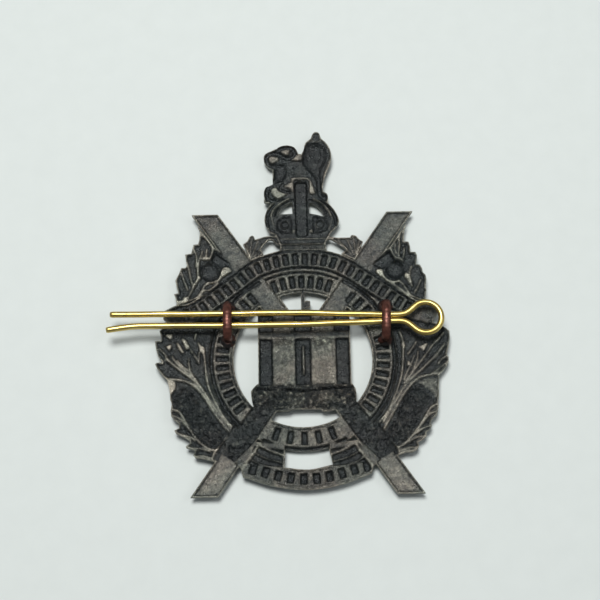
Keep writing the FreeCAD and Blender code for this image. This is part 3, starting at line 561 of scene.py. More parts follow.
def draw_scrolls(c):
    middle = offset(SCROLL_EDGE, 1.95)
    where, gap = c.distance(np.vstack((SCROLL_EDGE, offset(SCROLL_EDGE, 3.9)[::-1])), 0.4)
    share = ease(gap / 0.3)
    c.depth[where] = c.depth[where] * (1 - share) + 0.04 * share
    c.paint(where, share, 0.3, 0.8)
    c.groove(offset(SCROLL_EDGE, 0.4)[8:-8], 0.4, RIM_DEPTH, tone=DARK)
    c.groove(offset(SCROLL_EDGE, 3.65)[14:-14], 0.34, RIM_DEPTH, tone=DARK)
    for spot, run in zip(*along(middle, np.linspace(*UPPER_ROW))):
        line = block(spot, run, BLOCK_HALF, BLOCK_TALL - 0.1)
        c.sink(line, SCROLL_BLOCK_DEPTH, wall=0.26, tone=DARK, grain=0.9)
    c.sink(curve(((-24.9, 7.55, 1), (-22.4, 8.8, 1), (-21.5, 8.3), (-21.2, 7.2), (-22, 6.3), (-24.6, 6.4))),
           0.9, wall=0.3, tone=DARK)
    # lower scroll
    c.sink(SCROLL_BOTTOM, 0.06, wall=0.1, tone=0.32, grain=1.0, fresh=True)
    belly = stroke(((-10.6, -20.9), (-8.2, -21.5), (-4.2, -22.6), (0, -23.05), (4.2, -22.6), (8.2, -21.5),
                   (10.6, -20.9)))
    for spot, run in zip(*along(belly, np.linspace(*LOWER_ROW))):
        line = block(spot, run, BLOCK_HALF + 0.1, BLOCK_TALL - 0.25)
        c.sink(line, SCROLL_BLOCK_DEPTH, wall=0.28, tone=DARK, grain=0.6)
    c.groove(stroke(((-10.6, -22.1), (-6, -23.75), (0, -24.5), (6, -23.65), (10.7, -21.9))), 0.16, 0.3)
    c.groove(stroke(((-8.8, -20.2), (-4.4, -21.3), (0, -21.75), (4.6, -21.2), (6.4, -20.6))), 0.18, 0.4)
    for side in (-1, 1):
        c.sink(FOLD * (side, 1), FOLD_DEPTH, wall=0.3, tone=0.03, grain=0.9)
        for width, tone, points in FOLD_LINES:
            c.ridge(stroke(points) * (side, 1), width, 0.85, tone=tone)


FOLD = sharp((
    (9.2, -17), (4, -17.9), (4.3, -20.9), (7.4, -20.9), (10.6, -20.2)))
FOLD_LINES = (
    (0.45, 0.55, ((8.3, -17), (6.6, -17.9), (4.2, -18.8))),
    (0.3, 0.45, ((9, -18.3), (7.2, -19.3), (4.4, -20.1))),
    (0.3, 0.4, ((9.8, -19.4), (8, -20.4), (4.6, -21.1))),
    (0.5, 0.6, ((8.3, -16.7), (9.3, -18.3), (10.6, -20.1), (11.7, -21.6))),
)


def draw_castle(c):
    c.sink(CASTLE, WALL_DEPTH, wall=0.2, inset=0.05, tone=0.42, grain=1.2, fresh=True)
    for left, right in ((-8.3, -5.6), (-1.95, 1.25), (5.3, 8.05)):
        c.sink(box(left, -6.5, right, 2.4), TOWER_DEPTH, wall=0.4, tone=DARK, grain=0.8)
        c.sink(box(left - 0.1, 3.4, right + 0.1, 6.8), BATTLEMENT_DEPTH, wall=0.3, tone=DARK, grain=0.5)
    c.sink(box(-8.3, 2.5, 8.05, 3.4), 0.5, wall=0.2, tone=0.15, grain=0.6, fresh=True)
    for left, right in ((-5.5, -2.05), (1.35, 5.2)):
        c.ridge(np.array(((left + 0.3, 6), (right - 0.3, 6))), 0.3, 0.6)
        c.sink(box(left, 0.9, right, 2.3), 0.8, wall=0.25, tone=0.4, grain=3.0)
        for course in np.arange(-5.6, 0.8, 0.62):
            c.groove(np.array(((left, course), (right, course))), 0.06, 0.64)
        c.bowl(circle(((left + right) / 2, -2.3), 0.75), 0.85, 0.6, tone=0.4, grain=1.6)
        c.sink(box(left - 0.1, -6.75, right + 0.1, -6.15), ROCK_TOP_DEPTH, wall=0.25, tone=DARK)
    c.sink(ROCK, ROCK_DEPTH, wall=0.35, inset=0.08, tone=0.12, grain=3.0, fresh=True)
    c.pebbles(ROCK, 200, 0.3, 0.8, 0.6, ROCK_SEED)
    # larger rock domes whose tops carry a stronger painted highlight
    c.pebbles(ROCK, 14, 1.2, 2.2, 0.6, BOULDER_SEED, 0.2)
    rock_top = stroke(((-8.6, -6.9), (-4, -7.1), (0, -7.4), (4.2, -7), (8.2, -6.9)))
    c.groove(rock_top, 0.5, ROCK_TOP_DEPTH, tone=DARK)
    c.ridge(np.array(((-0.3, -4.2), (-0.3, 0.7))), 0.5, 0.55, tone=0.75)
    c.sink(FLAG, 0.4, wall=0.15, tone=0.1)


def draw_crown(c):
    c.sink(CROWN, CROWN_DEPTH, wall=0.3, inset=0.1, tone=0.05, grain=0.6, fresh=True)
    outer_left = stroke(((-6.3, 23.6), (-6.45, 25.2), (-5.9, 26.8), (-4.6, 28.2), (-2.6, 29.4),
                         (-1.2, 29.9)))
    inner_left = stroke(((-4.9, 25.6), (-4.75, 26.5), (-3.9, 27.6), (-2.6, 28.5), (-1.5, 28.9)))
    outer_right = stroke(((6.2, 23.6), (6.1, 25), (5.4, 26.5), (4, 28), (2.4, 29.3), (1.2, 29.9)))
    inner_right = stroke(((4.4, 25.5), (4.2, 26.6), (3.3, 27.8), (2.2, 28.5), (1.2, 28.8)))
    for line, width in ((outer_left, 0.55), (inner_left, 0.35), (outer_right, 0.45), (inner_right, 0.35)):
        c.groove(line, width, ARCH_DEPTH, tone=DARK)
    for line in (stroke(((-5.7, 25.6), (-5.3, 26.8), (-4.2, 27.9), (-2.4, 28.95))),
                 stroke(((5.3, 25.4), (4.8, 26.6), (3.7, 27.9), (2.2, 28.85)))):
        c.ridge(line, 0.3, 0.85)
    for side in (-1, 1):
        cushion = curve(((side * 1.7, 25.7, 1), (side * 3.4, 25.6), (side * 4.7, 24.9), (side * 4.9, 23.6),
                         (side * 4.3, 22.4), (side * 1.7, 21.8, 1)))
        c.bowl(cushion, CUSHION_DEPTH, 1, tone=DARK, grain=0.5)
        c.ridge(circle((side * 3.2, 24), 0.75), 0.14, 0.5, closed=True)
        c.ridge(stroke(((side * 5.6, 25.2), (side * 5.3, 24), (side * 4.9, 22.8))), 0.3, 0.4)
        c.land(box(min(side * 1.3, side * 1.9), 22.2, max(side * 1.3, side * 1.9), 22.8), strength=0.7)
    for y, width, strength in ((21.05, 0.2, 0.7), (20, 0.24, 0.85), (19.45, 0.14, 0.6), (18.95, 0.2, 0.85)):
        c.ridge(np.array(((-4, y), (4, y))), width, strength)
    for leaf, side in ((CROWN_LEAF_LEFT, -1), (CROWN_LEAF_RIGHT, 1)):
        c.sink(leaf, LEAF_DEPTH, wall=0.25, inset=0.1, tone=0.1, grain=0.5, fresh=True)
        for start, end in (((9.3, 21.2), (9.6, 18)), ((8.2, 20.6), (9.3, 17.8)), ((6.4, 20.9), (9, 17.6)),
                           ((10.3, 20.2), (9.6, 17.6))):
            line = np.array(((side * start[0], start[1]), (side * end[0], end[1])))
            c.ridge(line, 0.18, 0.75)


CROWN_COLUMN = curve((
    (-1.3, 21.5, 1), (-1.45, 25.9, 1), (-1.5, 30, 1), (-1.2, 32.3), (0.9, 32.4), (1.15, 31.8),
    (1.15, 26, 1), (1.1, 21.5, 1)))


def draw_lion(c):
    c.sink(LION, LION_DEPTH, wall=0.3, inset=0.08, tone=0.08, grain=0.4, fresh=True)
    for points in LION_LANDS:
        c.land(curve(points), tone=0.5)
    mane = curve(((0.2, 37), (0.4, 38.4), (0.9, 39.7), (2, 40.2), (3.6, 40.1), (4.7, 39.1), (5.1, 37.6),
                  (4.7, 36), (3.9, 34.3), (3.6, 32), (3.5, 30), (2.9, 30), (2.6, 32), (1.8, 33.6),
                  (0.6, 34.8), (0, 35.8)))
    c.bowl(mane, MANE_DEPTH, 1.6, tone=DARK, grain=0.5)
    rump = curve(((-5.1, 35.6), (-3.9, 36.2), (-2.6, 36.1), (-2.4, 34.6), (-2.7, 33.3),
                  (-3.6, 32.2), (-5, 32.4)))
    c.bowl(rump, RUMP_DEPTH, 1.2, tone=DARK, grain=0.4)
    body = curve(((-2.8, 36.1), (0.2, 36.1), (0.9, 34.6), (0.4, 33.4), (-1.6, 33.4), (-2.8, 34)))
    c.bowl(body, BODY_DEPTH, 1, tone=0.1, grain=0.6)
    tail = stroke(((-5.2, 35.3), (-6.2, 36), (-6.4, 37.2), (-5.6, 38), (-4.2, 37.9), (-3, 37.2),
                  (-1.8, 37.2), (-1.1, 38), (-1.7, 38.9), (-2.9, 39.1), (-4.3, 38.7)))
    c.groove(tail, 0.75, TAIL_DEPTH, tone=DARK)
    for points, width in LION_LIMBS:
        c.groove(stroke(points), width, LIMB_DEPTH, tone=DARK)
    c.groove(stroke(((2.3, 41.5), (2.8, 41.8), (3.4, 41.4))), 0.35, 0.5)
    c.ridge(stroke(((2, 40.5), (2.9, 40.2), (3.7, 40.5))), 0.2, 0.5)
    c.ridge(stroke(((5.3, 36.4), (4.8, 35), (4.1, 33.2))), 0.3, 0.45)
    for points in (((1.2, 38.8), (1.6, 37.4), (2.6, 36.2)), ((3.9, 38.9), (3.8, 37.2), (3.2, 35.9)),
                   ((-1.9, 35.8), (-1.5, 34.8), (-1.6, 33.8))):
        c.ridge(stroke(points), 0.14, 0.22)
    c.sink(CROWN_COLUMN, COLUMN_DEPTH, wall=0.35, tone=DARK, grain=0.5)


LION_LANDS = (
    ((-6, 37.3), (-4.9, 37.35), (-4.1, 36.75), (-5.2, 35.95), (-5.95, 36.3)),
    ((-4.3, 38.8), (-2.5, 39), (-2, 38.4), (-2.5, 37.6), (-3.5, 37.8), (-3.9, 38.4)),
    ((-1.8, 36.5), (-1.4, 37), (-0.4, 37.8), (0.2, 37.3), (0.1, 36.5)),
    ((-5.5, 30.8), (-4.7, 31.2), (-4.3, 30.5), (-3.3, 30), (-2.6, 29.8), (-4.2, 29), (-5.1, 29.3),
     (-5.6, 30)),
    ((-3.2, 31.4), (-1.9, 32.2), (-1.8, 33), (1.1, 33), (1.9, 32), (2.45, 30.2), (2.3, 29.7), (1.4, 30),
     (1.45, 31.8), (1.1, 32.6), (-1.2, 32.6), (-1.5, 31.8), (-1.5, 30.2), (-2.2, 30.9)),
)
LION_LIMBS = (
    (((-4.8, 32.6), (-5.9, 31.6), (-6.45, 30.3), (-6.3, 29.1), (-5.6, 28.6), (-5, 28.7)), 0.75),
    (((-3.4, 32), (-4, 31.1), (-3.2, 30.5), (-2.3, 30.3)), 0.55),
    (((3.2, 33), (3.2, 31), (3.4, 29.6), (4.3, 29)), 0.8),
)


def draw_badge():
    c = Canvas()
    draw_silhouette(c)
    draw_wreath(c)
    draw_saltire(c)
    draw_ring(c)
    draw_scrolls(c)
    draw_castle(c)
    draw_crown(c)
    draw_lion(c)
    return c
# --- relief: end


# --- plate
FACES = 185_000       # triangles kept in the finished plate
ROUND_OVER = 0.16     # radius worn onto the plate's edges, mm
BACK_BLUR, FRONT_BLUR = 0.07, 0.05    # softening of the relief on each side, mm
ROUGH_HEIGHT = 0.06   # height of the casting texture for a grain of one, mm
NEAR_GRID = 0.15      # share of a grid step kept between the outline and any grid point
SHARP_EDGE = 62       # degrees


def value_noise(x, y, pitch, seed):
    """Smooth random values between -1 and 1 on a lattice of the given pitch."""
    table = np.random.default_rng(seed).uniform(-1, 1, (256, 256))
    u, v = x / pitch + 64.0, y / pitch + 64.0
    i, j = np.floor(u).astype(int), np.floor(v).astype(int)
    fu, fv = ease(u - i), ease(v - j)
    i, j, i1, j1 = i % 256, j % 256, (i + 1) % 256, (j + 1) % 256
    low = table[j, i] * (1 - fu) + table[j, i1] * fu
    high = table[j1, i] * (1 - fu) + table[j1, i1] * fu
    return low * (1 - fv) + high * fv


def roughness_of(c):
    """Casting texture: how far the back is pushed in or out at each place, mm."""
    gx, gy = np.meshgrid(c.x, c.y)
    rough = 0.7 * value_noise(gx, gy, 0.5, 3) + 0.45 * value_noise(gx, gy, 0.25, 5)
    rough += np.abs(value_noise(gx, gy, 1.1, 8)) * 1.1 - 0.4
    return ROUGH_HEIGHT * blur(c.grain, 0.2) * rough


def sample(c, field, x, y):
    """Bilinear reading of a map."""
    u = np.clip((x - c.x[0]) / STEP, 0, len(c.x) - 1.001)
    v = np.clip((y - c.y[0]) / STEP, 0, len(c.y) - 1.001)
    i, j = u.astype(int), v.astype(int)
    u, v = u - i, v - j
    return ((field[j, i] * (1 - u) + field[j, i + 1] * u) * (1 - v)
            + (field[j + 1, i] * (1 - u) + field[j + 1, i + 1] * u) * v)


def cut_triangles(c):
    """The grid's triangles trimmed to the silhouette: points, faces and the edges along the outline."""
    rows, cols = c.inside.shape
    least = NEAR_GRID * STEP
    gap = np.where(np.abs(c.inside) < least, np.copysign(least, c.inside), c.inside).ravel()
    corner = np.arange(rows * cols).reshape(rows, cols)
    a, b = corner[:-1, :-1].ravel(), corner[:-1, 1:].ravel()
    d, e = corner[1:, :-1].ravel(), corner[1:, 1:].ravel()
    even = ((a // cols + a % cols) % 2 == 0)[:, None, None]
    split_one = np.stack((np.stack((a, b, e), 1), np.stack((a, e, d), 1)), 1)
    split_two = np.stack((np.stack((a, b, d), 1), np.stack((b, e, d), 1)), 1)
    tris = np.where(even, split_one, split_two).reshape(-1, 3)
    tris = tris[(gap[tris] > 0).any(1)]
    gx, gy = np.meshgrid(c.x, c.y)
    grid = np.column_stack((gx.ravel(), gy.ravel()))
    keep = gap[tris] > 0
    faces, rims, cuts = [tris[keep.all(1)]], [], {}
    extra = []

    def crossing(p, q):
        key = (min(p, q), max(p, q))
        if key not in cuts:
            cuts[key] = rows * cols + len(extra)
            share = gap[p] / (gap[p] - gap[q])
            extra.append(grid[p] + (grid[q] - grid[p]) * share)
        return cuts[key]

    trimmed = []
    for tri, inside in zip(tris[~keep.all(1)].tolist(), keep[~keep.all(1)].tolist()):
        first = inside.index(True) if sum(inside) == 1 else (inside.index(False) + 1) % 3
        p, q, r = tri[first], tri[(first + 1) % 3], tri[(first + 2) % 3]
        if sum(inside) == 1:
            m, n = crossing(p, q), crossing(p, r)
            trimmed.append((p, m, n))
        else:
            m, n = crossing(q, r), crossing(p, r)
            trimmed += [(p, q, m), (p, m, n)]
        rims.append((m, n))
    faces.append(np.array(trimmed))
    points = np.vstack((grid, np.array(extra)))
    faces = np.vstack(faces)
    used, again = np.unique(faces, return_inverse=True)
    place = np.full(len(points), -1)
    place[used] = np.arange(len(used))
    return points[used], again.reshape(-1, 3), place[np.array(rims)]


def plate_heights(c, x, y):
    """Height of the back and of the front at each point."""
    back_depth = blur(c.depth, BACK_BLUR) + roughness_of(c)
    front_depth = blur(c.depth, FRONT_BLUR)
    edge = ROUND_OVER * (1 - ease(np.maximum(c.inside, 0) / ROUND_OVER))
    back = BACK - back_depth - edge
    front = np.maximum(BACK - SHEET - front_depth, 0.0) + edge
    return sample(c, back, x, y), sample(c, front, x, y)


def make_plate(c):
    points, faces, rims = cut_triangles(c)
    back, front = plate_heights(c, points[:, 0], points[:, 1])
    count = len(points)
    verts = np.vstack((np.column_stack((points, back)), np.column_stack((points, front)))) * MM
    walls = np.vstack((np.column_stack((rims[:, 1], rims[:, 0], rims[:, 0] + count)),
                       np.column_stack((rims[:, 1], rims[:, 0] + count, rims[:, 1] + count))))
    tris = np.vstack((faces, faces[:, ::-1] + count, walls))
    mesh = bpy.data.meshes.new("badge_relief")
    mesh.vertices.add(len(verts))
    mesh.vertices.foreach_set("co", verts.ravel())
    mesh.loops.add(tris.size)
    mesh.loops.foreach_set("vertex_index", tris.ravel())
    mesh.polygons.add(len(tris))
    mesh.polygons.foreach_set("loop_start", np.arange(len(tris)) * 3)
    mesh.update(calc_edges=True)
    mesh.validate()
    plate = bpy.data.objects.new("badge_relief", mesh)
    bpy.context.scene.collection.objects.link(plate)
    thin = plate.modifiers.new("thin", "DECIMATE")
    thin.ratio = FACES / len(tris)
    graph = bpy.context.evaluated_depsgraph_get()
    settled = bpy.data.meshes.new_from_object(plate.evaluated_get(graph))
    plate.modifiers.clear()
    plate.data = settled
    settled.name = "badge_relief_mesh"
    settled.shade_smooth()
    settled.set_sharp_from_angle(angle=math.radians(SHARP_EDGE))
    patina_and_painted_highlights(c, settled)
    return plate


def patina_and_painted_highlights(c, mesh):
    """Attributes for the finish: how bright and how rough each place is.  The brightness holds the patina
    and, along the outline, a painted highlight.
    """
    co = np.zeros(len(mesh.vertices) * 3)
    mesh.vertices.foreach_get("co", co)
    co = co.reshape(-1, 3) / MM
    depth = sample(c, blur(c.depth, BACK_BLUR), co[:, 0], co[:, 1])
    on_back = co[:, 2] > BACK - depth - SHEET / 2
    tone = sample(c, blur(c.tone, 0.08), co[:, 0], co[:, 1])
    # painted highlight: the brightness is lifted on a thin band along the outline edges
    painted_edge_highlight = 0.22 * (1 - ease(np.maximum(sample(c, c.inside, co[:, 0], co[:, 1]), 0) / 0.3))
    front_tone = 0.2 + 0.55 * np.clip(depth / 1.1, 0, 1)
    for name, values in (("tone", np.where(on_back, tone + painted_edge_highlight, front_tone)),
                         ("rough", sample(c, blur(c.grain, 0.3), co[:, 0], co[:, 1]))):
        layer = mesh.attributes.new(name, "FLOAT", "POINT")
        layer.data.foreach_set("value", np.clip(values, 0, 3).astype(np.float32))


# --- finishes
class Finish:
    """A small helper that wires a node material."""

    def __init__(self, name, metallic, roughness):
        self.material = bpy.data.materials.new(name)
        self.material.use_nodes = True
        self.nodes = self.material.node_tree.nodes
        self.links = self.material.node_tree.links
        self.shader = self.nodes["Principled BSDF"]
        self.shader.inputs["Metallic"].default_value = metallic
        self.shader.inputs["Roughness"].default_value = roughness
        self.place = self.nodes.new("ShaderNodeTexCoord").outputs["Object"]

    def put(self, socket, value):
        if isinstance(value, bpy.types.NodeSocket):
            self.links.new(value, socket)
        else:
            socket.default_value = value

    def noise(self, scale, detail=3.0, rough=0.55, distortion=0.0):
        """Noise whose features are about 1/scale metres across."""
        node = self.nodes.new("ShaderNodeTexNoise")
        node.inputs["Scale"].default_value = scale
        node.inputs["Detail"].default_value = detail
        node.inputs["Roughness"].default_value = rough
        node.inputs["Distortion"].default_value = distortion
        self.links.new(self.place, node.inputs["Vector"])
        return node.outputs["Fac"]

    def read(self, name):
        node = self.nodes.new("ShaderNodeAttribute")
        node.attribute_name = name
        return node.outputs["Fac"]

    def math(self, kind, a, b):
        node = self.nodes.new("ShaderNodeMath")
        node.operation = kind
        self.put(node.inputs[0], a)
        self.put(node.inputs[1], b)
        return node.outputs[0]

    def remap(self, value, low, high, out_low=0.0, out_high=1.0):
        node = self.nodes.new("ShaderNodeMapRange")
        self.put(node.inputs["Value"], value)
        node.inputs["From Min"].default_value = low
        node.inputs["From Max"].default_value = high
        node.inputs["To Min"].default_value = out_low
        node.inputs["To Max"].default_value = out_high
        return node.outputs["Result"]

    def ramp(self, value, stops):
        node = self.nodes.new("ShaderNodeValToRGB")
        self.put(node.inputs["Fac"], value)
        marks = node.color_ramp.elements
        marks[0].position, marks[0].color = stops[0]
        marks[1].position, marks[1].color = stops[-1]
        for position, colour in stops[1:-1]:
            marks.new(position).color = colour
        return node.outputs["Color"]

    def mix(self, share, a, b, kind="MIX"):
        node = self.nodes.new("ShaderNodeMix")
        node.data_type = "RGBA"
        node.blend_type = kind
        self.put(node.inputs[0], share)
        self.put(node.inputs[6], a)
        self.put(node.inputs[7], b)
        return node.outputs[2]

    def bump(self, heights, strength):
        """heights is a list of (socket, distance in metres)."""
        normal = None
        for value, distance in heights:
            node = self.nodes.new("ShaderNodeBump")
            node.inputs["Strength"].default_value = strength
            node.inputs["Distance"].default_value = distance
            self.links.new(value, node.inputs["Height"])
            if normal:
                self.links.new(normal, node.inputs["Normal"])
            normal = node.outputs["Normal"]
        self.links.new(normal, self.shader.inputs["Normal"])


def rgb(red, green, blue):
    """Linear colour from display values 0-255."""
    def linear(value):
        value /= 255
        return value / 12.92 if value <= 0.04045 else ((value + 0.055) / 1.055) ** 2.4
    return (linear(red), linear(green), linear(blue), 1.0)


def white_metal():
    """Darkened white metal: blue-black in the hollows, grey-brown on the flats, tan where it is worn and
    where highlights are painted; painted glints fleck the rough parts.
    """
    f = Finish("darkened_white_metal", 0.55, 0.45)
    tone, rough = f.read("tone"), f.read("rough")
    level = f.math("ADD", tone, f.remap(f.noise(1050, 5, 0.7), 0.3, 0.7, -0.15, 0.15))
    level = f.math("ADD", level, f.remap(f.noise(230, 2), 0.35, 0.65, -0.05, 0.05))
    # painted highlight: small light flecks, strongest where the surface is rough, stand in for glints
    painted_glint = f.remap(f.noise(1500, 4, 0.6), 0.55, 0.68)
    painted_glint = f.math("MULTIPLY", painted_glint, f.remap(rough, 0.5, 2.6, 0.0, 0.5))
    level = f.math("ADD", level, painted_glint)
    colour = f.ramp(level, ((0.0, rgb(37, 41, 43)), (0.18, rgb(60, 63, 63)), (0.4, rgb(100, 99, 94)),
                            (0.62, rgb(150, 147, 137)), (0.95, rgb(214, 210, 196))))
    tint = f.mix(f.remap(f.noise(160, 2), 0.4, 0.62), rgb(232, 250, 243), rgb(255, 246, 238))
    f.put(f.shader.inputs["Base Color"], f.mix(0.5, colour, tint, "MULTIPLY"))
    f.put(f.shader.inputs["Roughness"], f.remap(f.noise(1500, 4), 0.3, 0.7, 0.16, 0.46))
    f.bump(((f.noise(1700, 5, 0.7), 0.0003), (f.math("MULTIPLY", f.noise(2600, 3), rough), 0.0003)), 0.85)
    return f.material


def copper_wire():
    """Dark red-brown oxidised copper."""
    f = Finish("oxidised_copper", 0.7, 0.38)
    share = f.remap(f.noise(650, 4), 0.35, 0.68)
    colour = f.mix(share, rgb(74, 45, 39), rgb(122, 78, 66))
    colour = f.mix(f.remap(f.noise(1700, 3), 0.6, 0.75), colour, rgb(52, 34, 32))
    f.put(f.shader.inputs["Base Color"], colour)
    f.put(f.shader.inputs["Roughness"], f.remap(f.noise(1200, 3), 0.3, 0.7, 0.26, 0.5))
    f.bump(((f.noise(1600, 4), 0.00012),), 0.6)
    return f.material


def braze_metal():
    """Hard solder run round the feet, dark with coppery patches."""
    f = Finish("braze", 0.6, 0.45)
    colour = f.mix(f.remap(f.noise(700, 4), 0.5, 0.68), rgb(44, 42, 42), rgb(104, 68, 56))
    f.put(f.shader.inputs["Base Color"], colour)
    f.put(f.shader.inputs["Roughness"], f.remap(f.noise(1400, 3), 0.3, 0.7, 0.32, 0.6))
    f.bump(((f.noise(1500, 4), 0.0002),), 0.7)
    return f.material


def brass_wire():
    """Bright drawn brass with faint darker flecks."""
    f = Finish("drawn_brass", 0.95, 0.2)
    colour = f.mix(f.remap(f.noise(300, 4), 0.35, 0.7), rgb(206, 186, 116), rgb(184, 160, 92))
    colour = f.mix(f.remap(f.noise(1500, 3), 0.62, 0.8), colour, rgb(140, 116, 62))
    f.put(f.shader.inputs["Base Color"], colour)
    f.put(f.shader.inputs["Roughness"], f.remap(f.noise(900, 3), 0.3, 0.7, 0.26, 0.4))
    f.bump(((f.noise(1600, 3), 0.00002),), 0.5)
    return f.material


def paint(obj, material):
    obj.data.materials.clear()
    obj.data.materials.append(material)


# --- lugs
LUG_WIDTH, LUG_THICK = 1.6, 1.15          # the wire is a little flattened where it is bent, mm
CROWN_CLEAR = 0.12                        # room left over the pin, mm
SOLE, BURIED = BACK + LUG_THICK * 0.3, BACK - 0.5     # heights of a turned foot and of a straight one
SHIN, SPRING = BACK + 0.75, BACK + 1.35               # heights of the leg's middle and the arch's start
KNEE_RISE, KNEE_SHARE = 0.05, 0.35                    # where the leg turns into the foot
ARCH_POWER = 0.8                                      # below one, the arch is squarer than a circle
LUG_WIRE = 1.4                            # the CAD lug's round wire, mm
LOOPS = {mount["name"]: mount["pos_m"] for mount in frame["record"]["mounts"]}
# Each lug: its twist in degrees, then its two feet.  A foot is a heading in degrees and a reach in mm
# from the leg it turns out of; a reach of nought runs straight down into the plate.
LUGS = {
    "left": (0.0, ((90.0, 0.0), (-90.0, 0.0))),
    "right": (-2.0, ((100.0, 0.8), (190.0, 1.4))),
}


def lug_route(half, crown, feet):
    """Centre line of a lug, foot to foot: its foot, then up, over in an arch and down."""
    route = []
    for (heading, reach), y in zip(feet, (half, -half)):
        turn = math.radians(heading)
        run = Vector((math.cos(turn), math.sin(turn), 0.0))
        toe = Vector((0.0, y, SOLE if reach else BURIED)) + run * reach
        knee = Vector((0.0, y, SOLE + KNEE_RISE)) + run * reach * KNEE_SHARE
        route.append((toe, knee, Vector((0.0, y, SHIN))))
    arch = [Vector((0.0, half * math.cos(t), SPRING + (crown - SPRING) * math.sin(t) ** ARCH_POWER))
            for t in np.radians(np.linspace(4, 176, 13))]
    return [*route[0], *arch, *reversed(route[1])]


TUBE_SIDES = 28
ROUNDED_ENDS = (0.12, 0.45, 0.68, 0.83, 0.93, 0.98, 1.0)


def sweep_oval(name, route, wide, thick, taper, steps=7, wobble=1.0, across=Vector((1, 0, 0))):
    """A closed mesh tube of oval section along a smooth route.  taper lists the scale of the section
    from each end inwards, wobble makes it a little uneven and across sets which way its width lies."""
    points = curve3(route, steps)
    count, sides = len(points), TUBE_SIDES
    work = bmesh.new()
    rings = []
    for i, spot in enumerate(points):
        run = (points[min(i + 1, count - 1)] - points[max(i - 1, 0)]).normalized()
        across = (across - run * across.dot(run)).normalized()
        out = run.cross(across)
        end = min(i, count - 1 - i)
        scale = taper[min(end, len(taper) - 1)]
        uneven = 1 + wobble * (0.02 * math.sin(0.9 * i) + 0.015 * math.sin(0.41 * i + 1))
        ring = []
        for k in range(sides):
            t = 2 * math.pi * k / sides
            offset_by = across * (wide / 2 * math.cos(t)) + out * (thick / 2 * math.sin(t))
            ring.append(work.verts.new((spot + offset_by * (scale * uneven)) * MM))
        rings.append(ring)
    for one, two in zip(rings, rings[1:]):
        for k in range(sides):
            work.faces.new((one[k], one[(k + 1) % sides], two[(k + 1) % sides], two[k]))
    work.faces.new(rings[0][::-1])
    work.faces.new(rings[-1])
    bmesh.ops.recalc_face_normals(work, faces=work.faces)
    mesh = bpy.data.meshes.new(name)
    work.to_mesh(mesh)
    work.free()
    mesh.shade_smooth()
    made = bpy.data.objects.new(name, mesh)
    bpy.context.scene.collection.objects.link(made)
    return made


def curve3(route, steps):
    """Smooth line through points in space."""
    flat = curve([(p.x, p.y) for p in route], closed=False, steps=steps)
    tall = curve([(p.z, 0.0) for p in route], closed=False, steps=steps)
    return [Vector((*xy, z)) for xy, (z, _) in zip(flat, tall)]


def make_lug(side):
    twist, feet = LUGS[side]
    place = Vector(LOOPS[side + "_loop"])
    low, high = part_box(side + "_lug")
    half = (high.y - low.y) / MM / 2 - LUG_WIRE / 2
    pin_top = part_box("split_pin")[1].z / MM
    crown = pin_top + CROWN_CLEAR + LUG_THICK / 2
    lug = sweep_oval(side + "_lug_wire", lug_route(half, crown, feet), LUG_WIDTH, LUG_THICK, ROUNDED_ENDS)
    lug.location = (place.x, place.y, 0.0)
    lug.rotation_euler.z = math.radians(twist)
    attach(lug, "badge")
    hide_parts(side + "_lug")
    return lug


# --- split pin
PIN_WIRE = 1.1                                  # diameter, mm
LEG, NECK_RUN, SPLAY_RUN = 51.4, 1.6, 17.5     # distances back from the neck, mm
FAR, NEAR = 1.08, 0.58                          # half of the legs' spacing, spread and at the neck
EYE_X, EYE_RADIUS = 4.6, 2.8                    # eye: distance from the neck, and radius
TIP_RUN, TIP_DROP, TIP_EXTRA = 5.0, 0.55, 0.6   # the lower leg's kink: length, drop and extra reach
POINT_PITCH = 1.15
BLUNT_ENDS = (0.8, 0.94, 1.0)


def leg_points(extra, drop):
    """A leg from its free end to the neck: spread and straight, then closing, its tip kinked out."""
    points = []
    for x in np.arange(-LEG - extra, -NECK_RUN, POINT_PITCH):
        closing = min(max((-x - NECK_RUN) / (SPLAY_RUN - NECK_RUN), 0.0), 1.0)
        kink = drop * max((-x - LEG + TIP_RUN) / TIP_RUN, 0.0) ** 1.4
        hand = 0.02 * math.sin(0.23 * x + 4 * drop) + 0.012 * math.sin(0.71 * x)
        points.append((x, NEAR + (FAR - NEAR) * closing + kink + hand))
    return points


def make_pin():
    low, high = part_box("split_pin")
    shoulder = [(-0.9, NEAR), (0.1, NEAR + 0.02), (1.0, NEAR + 0.2), (1.8, NEAR + 0.68)]
    eye = [(EYE_X + EYE_RADIUS * math.cos(t), EYE_RADIUS * math.sin(t))
           for t in np.radians(np.linspace(135, -135, 15))]
    upper = leg_points(0.0, 0.0) + shoulder
    lower = [(x, -y) for x, y in leg_points(TIP_EXTRA, TIP_DROP) + shoulder]
    route = [Vector((x, y, 0.0)) for x, y in upper + eye + lower[::-1]]
    pin = sweep_oval("split_pin_wire", route, PIN_WIRE, PIN_WIRE, BLUNT_ENDS, steps=4, wobble=0.0,
                     across=Vector((0, 0, 1)))
    neck_x = high.x / MM - (EYE_X + EYE_RADIUS + PIN_WIRE / 2)
    slide = Vector(frame["record"]["behaviour"]["joints"][0]["axis"])
    lie = math.atan2(slide.y, slide.x)
    eye_y = low.y / MM + EYE_RADIUS + PIN_WIRE / 2
    pin.location = (neck_x * MM, (eye_y - EYE_X * math.sin(lie)) * MM, (low.z + high.z) / 2)
    pin.rotation_euler.z = lie
    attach(pin, "pin")
    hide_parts("split_pin")
    return pin


# --- pieces
def dress_badge():
    canvas = draw_badge()
    plate = make_plate(canvas)
    paint(plate, white_metal())
    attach(plate, "badge")
    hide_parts("badge_plate")
    copper, braze, brass = copper_wire(), braze_metal(), brass_wire()
    for side in ("left", "right"):
        paint(make_lug(side), copper)
        paint(frame["nodes"][side + "_lug_braze"], braze)
    paint(make_pin(), brass)


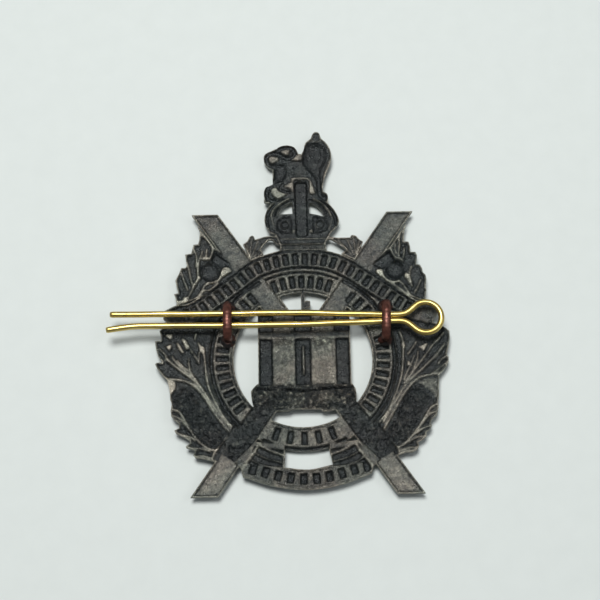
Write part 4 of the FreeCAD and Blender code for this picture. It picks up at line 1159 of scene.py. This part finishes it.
# --- stage
AIM = Vector((-0.71, 9.24, 2.3)) * MM      # point in the middle of the picture
LEAN = math.radians(17.0)                  # camera's tilt from straight down
ROLL = math.radians(1.14)
DISTANCE = 230 * MM
LENS, SENSOR = 76.7, 36.0
FLOOR_HALF, FLOOR_GAP = 1.2, 0.00002       # metres
WORLD_STRENGTH = 0.17


def set_camera():
    data = bpy.data.cameras.new("camera")
    data.lens, data.sensor_width = LENS, SENSOR
    data.clip_start, data.clip_end = 0.01, 10.0
    camera = bpy.data.objects.new("camera", data)
    right = Vector((math.cos(ROLL), -math.sin(ROLL), 0.0))
    ahead = Vector((math.sin(ROLL) * math.sin(LEAN), math.cos(ROLL) * math.sin(LEAN), -math.cos(LEAN)))
    up = right.cross(ahead)
    turn = Matrix((right, up, -ahead)).transposed()
    camera.matrix_world = Matrix.Translation(AIM - ahead * DISTANCE) @ turn.to_4x4()
    bpy.context.scene.collection.objects.link(camera)
    bpy.context.scene.camera = camera


def make_floor():
    mesh = bpy.data.meshes.new("floor")
    corners = [(x * FLOOR_HALF, y * FLOOR_HALF, 0) for x, y in ((-1, -1), (1, -1), (1, 1), (-1, 1))]
    mesh.from_pydata(corners, [], [(0, 1, 2, 3)])
    floor = bpy.data.objects.new("floor", mesh)
    floor.location = (0, 0, cad_low.z - FLOOR_GAP)
    bpy.context.scene.collection.objects.link(floor)
    f = Finish("pale_floor", 0.0, 0.75)
    f.put(f.shader.inputs["Base Color"], f.mix(f.noise(260, 3), rgb(205, 212, 210), rgb(211, 218, 216)))
    paint(floor, f.material)


def soft_light(name, place, size, power, warmth):
    data = bpy.data.lights.new(name, "AREA")
    data.shape = "DISK"
    data.size, data.energy, data.color = size, power, warmth
    light = bpy.data.objects.new(name, data)
    light.location = place
    light.rotation_mode = "QUATERNION"
    light.rotation_quaternion = (AIM - Vector(place)).to_track_quat("-Z", "Y")
    bpy.context.scene.collection.objects.link(light)


def light_stage():
    world = bpy.data.worlds.new("studio")
    world.use_nodes = True
    world.node_tree.nodes["Background"].inputs["Color"].default_value = (0.93, 0.97, 1.0, 1.0)
    world.node_tree.nodes["Background"].inputs["Strength"].default_value = WORLD_STRENGTH
    bpy.context.scene.world = world
    soft_light("key", place=(-0.06, 0.14, 0.6), size=0.24, power=3.6, warmth=(1.0, 0.99, 0.97))
    soft_light("fill", place=(0.35, 0.0, 0.45), size=0.3, power=0.35, warmth=(1.0, 1.0, 1.0))
    bpy.context.scene.view_settings.view_transform = "Standard"


dress_badge()
make_floor()
light_stage()
set_camera()
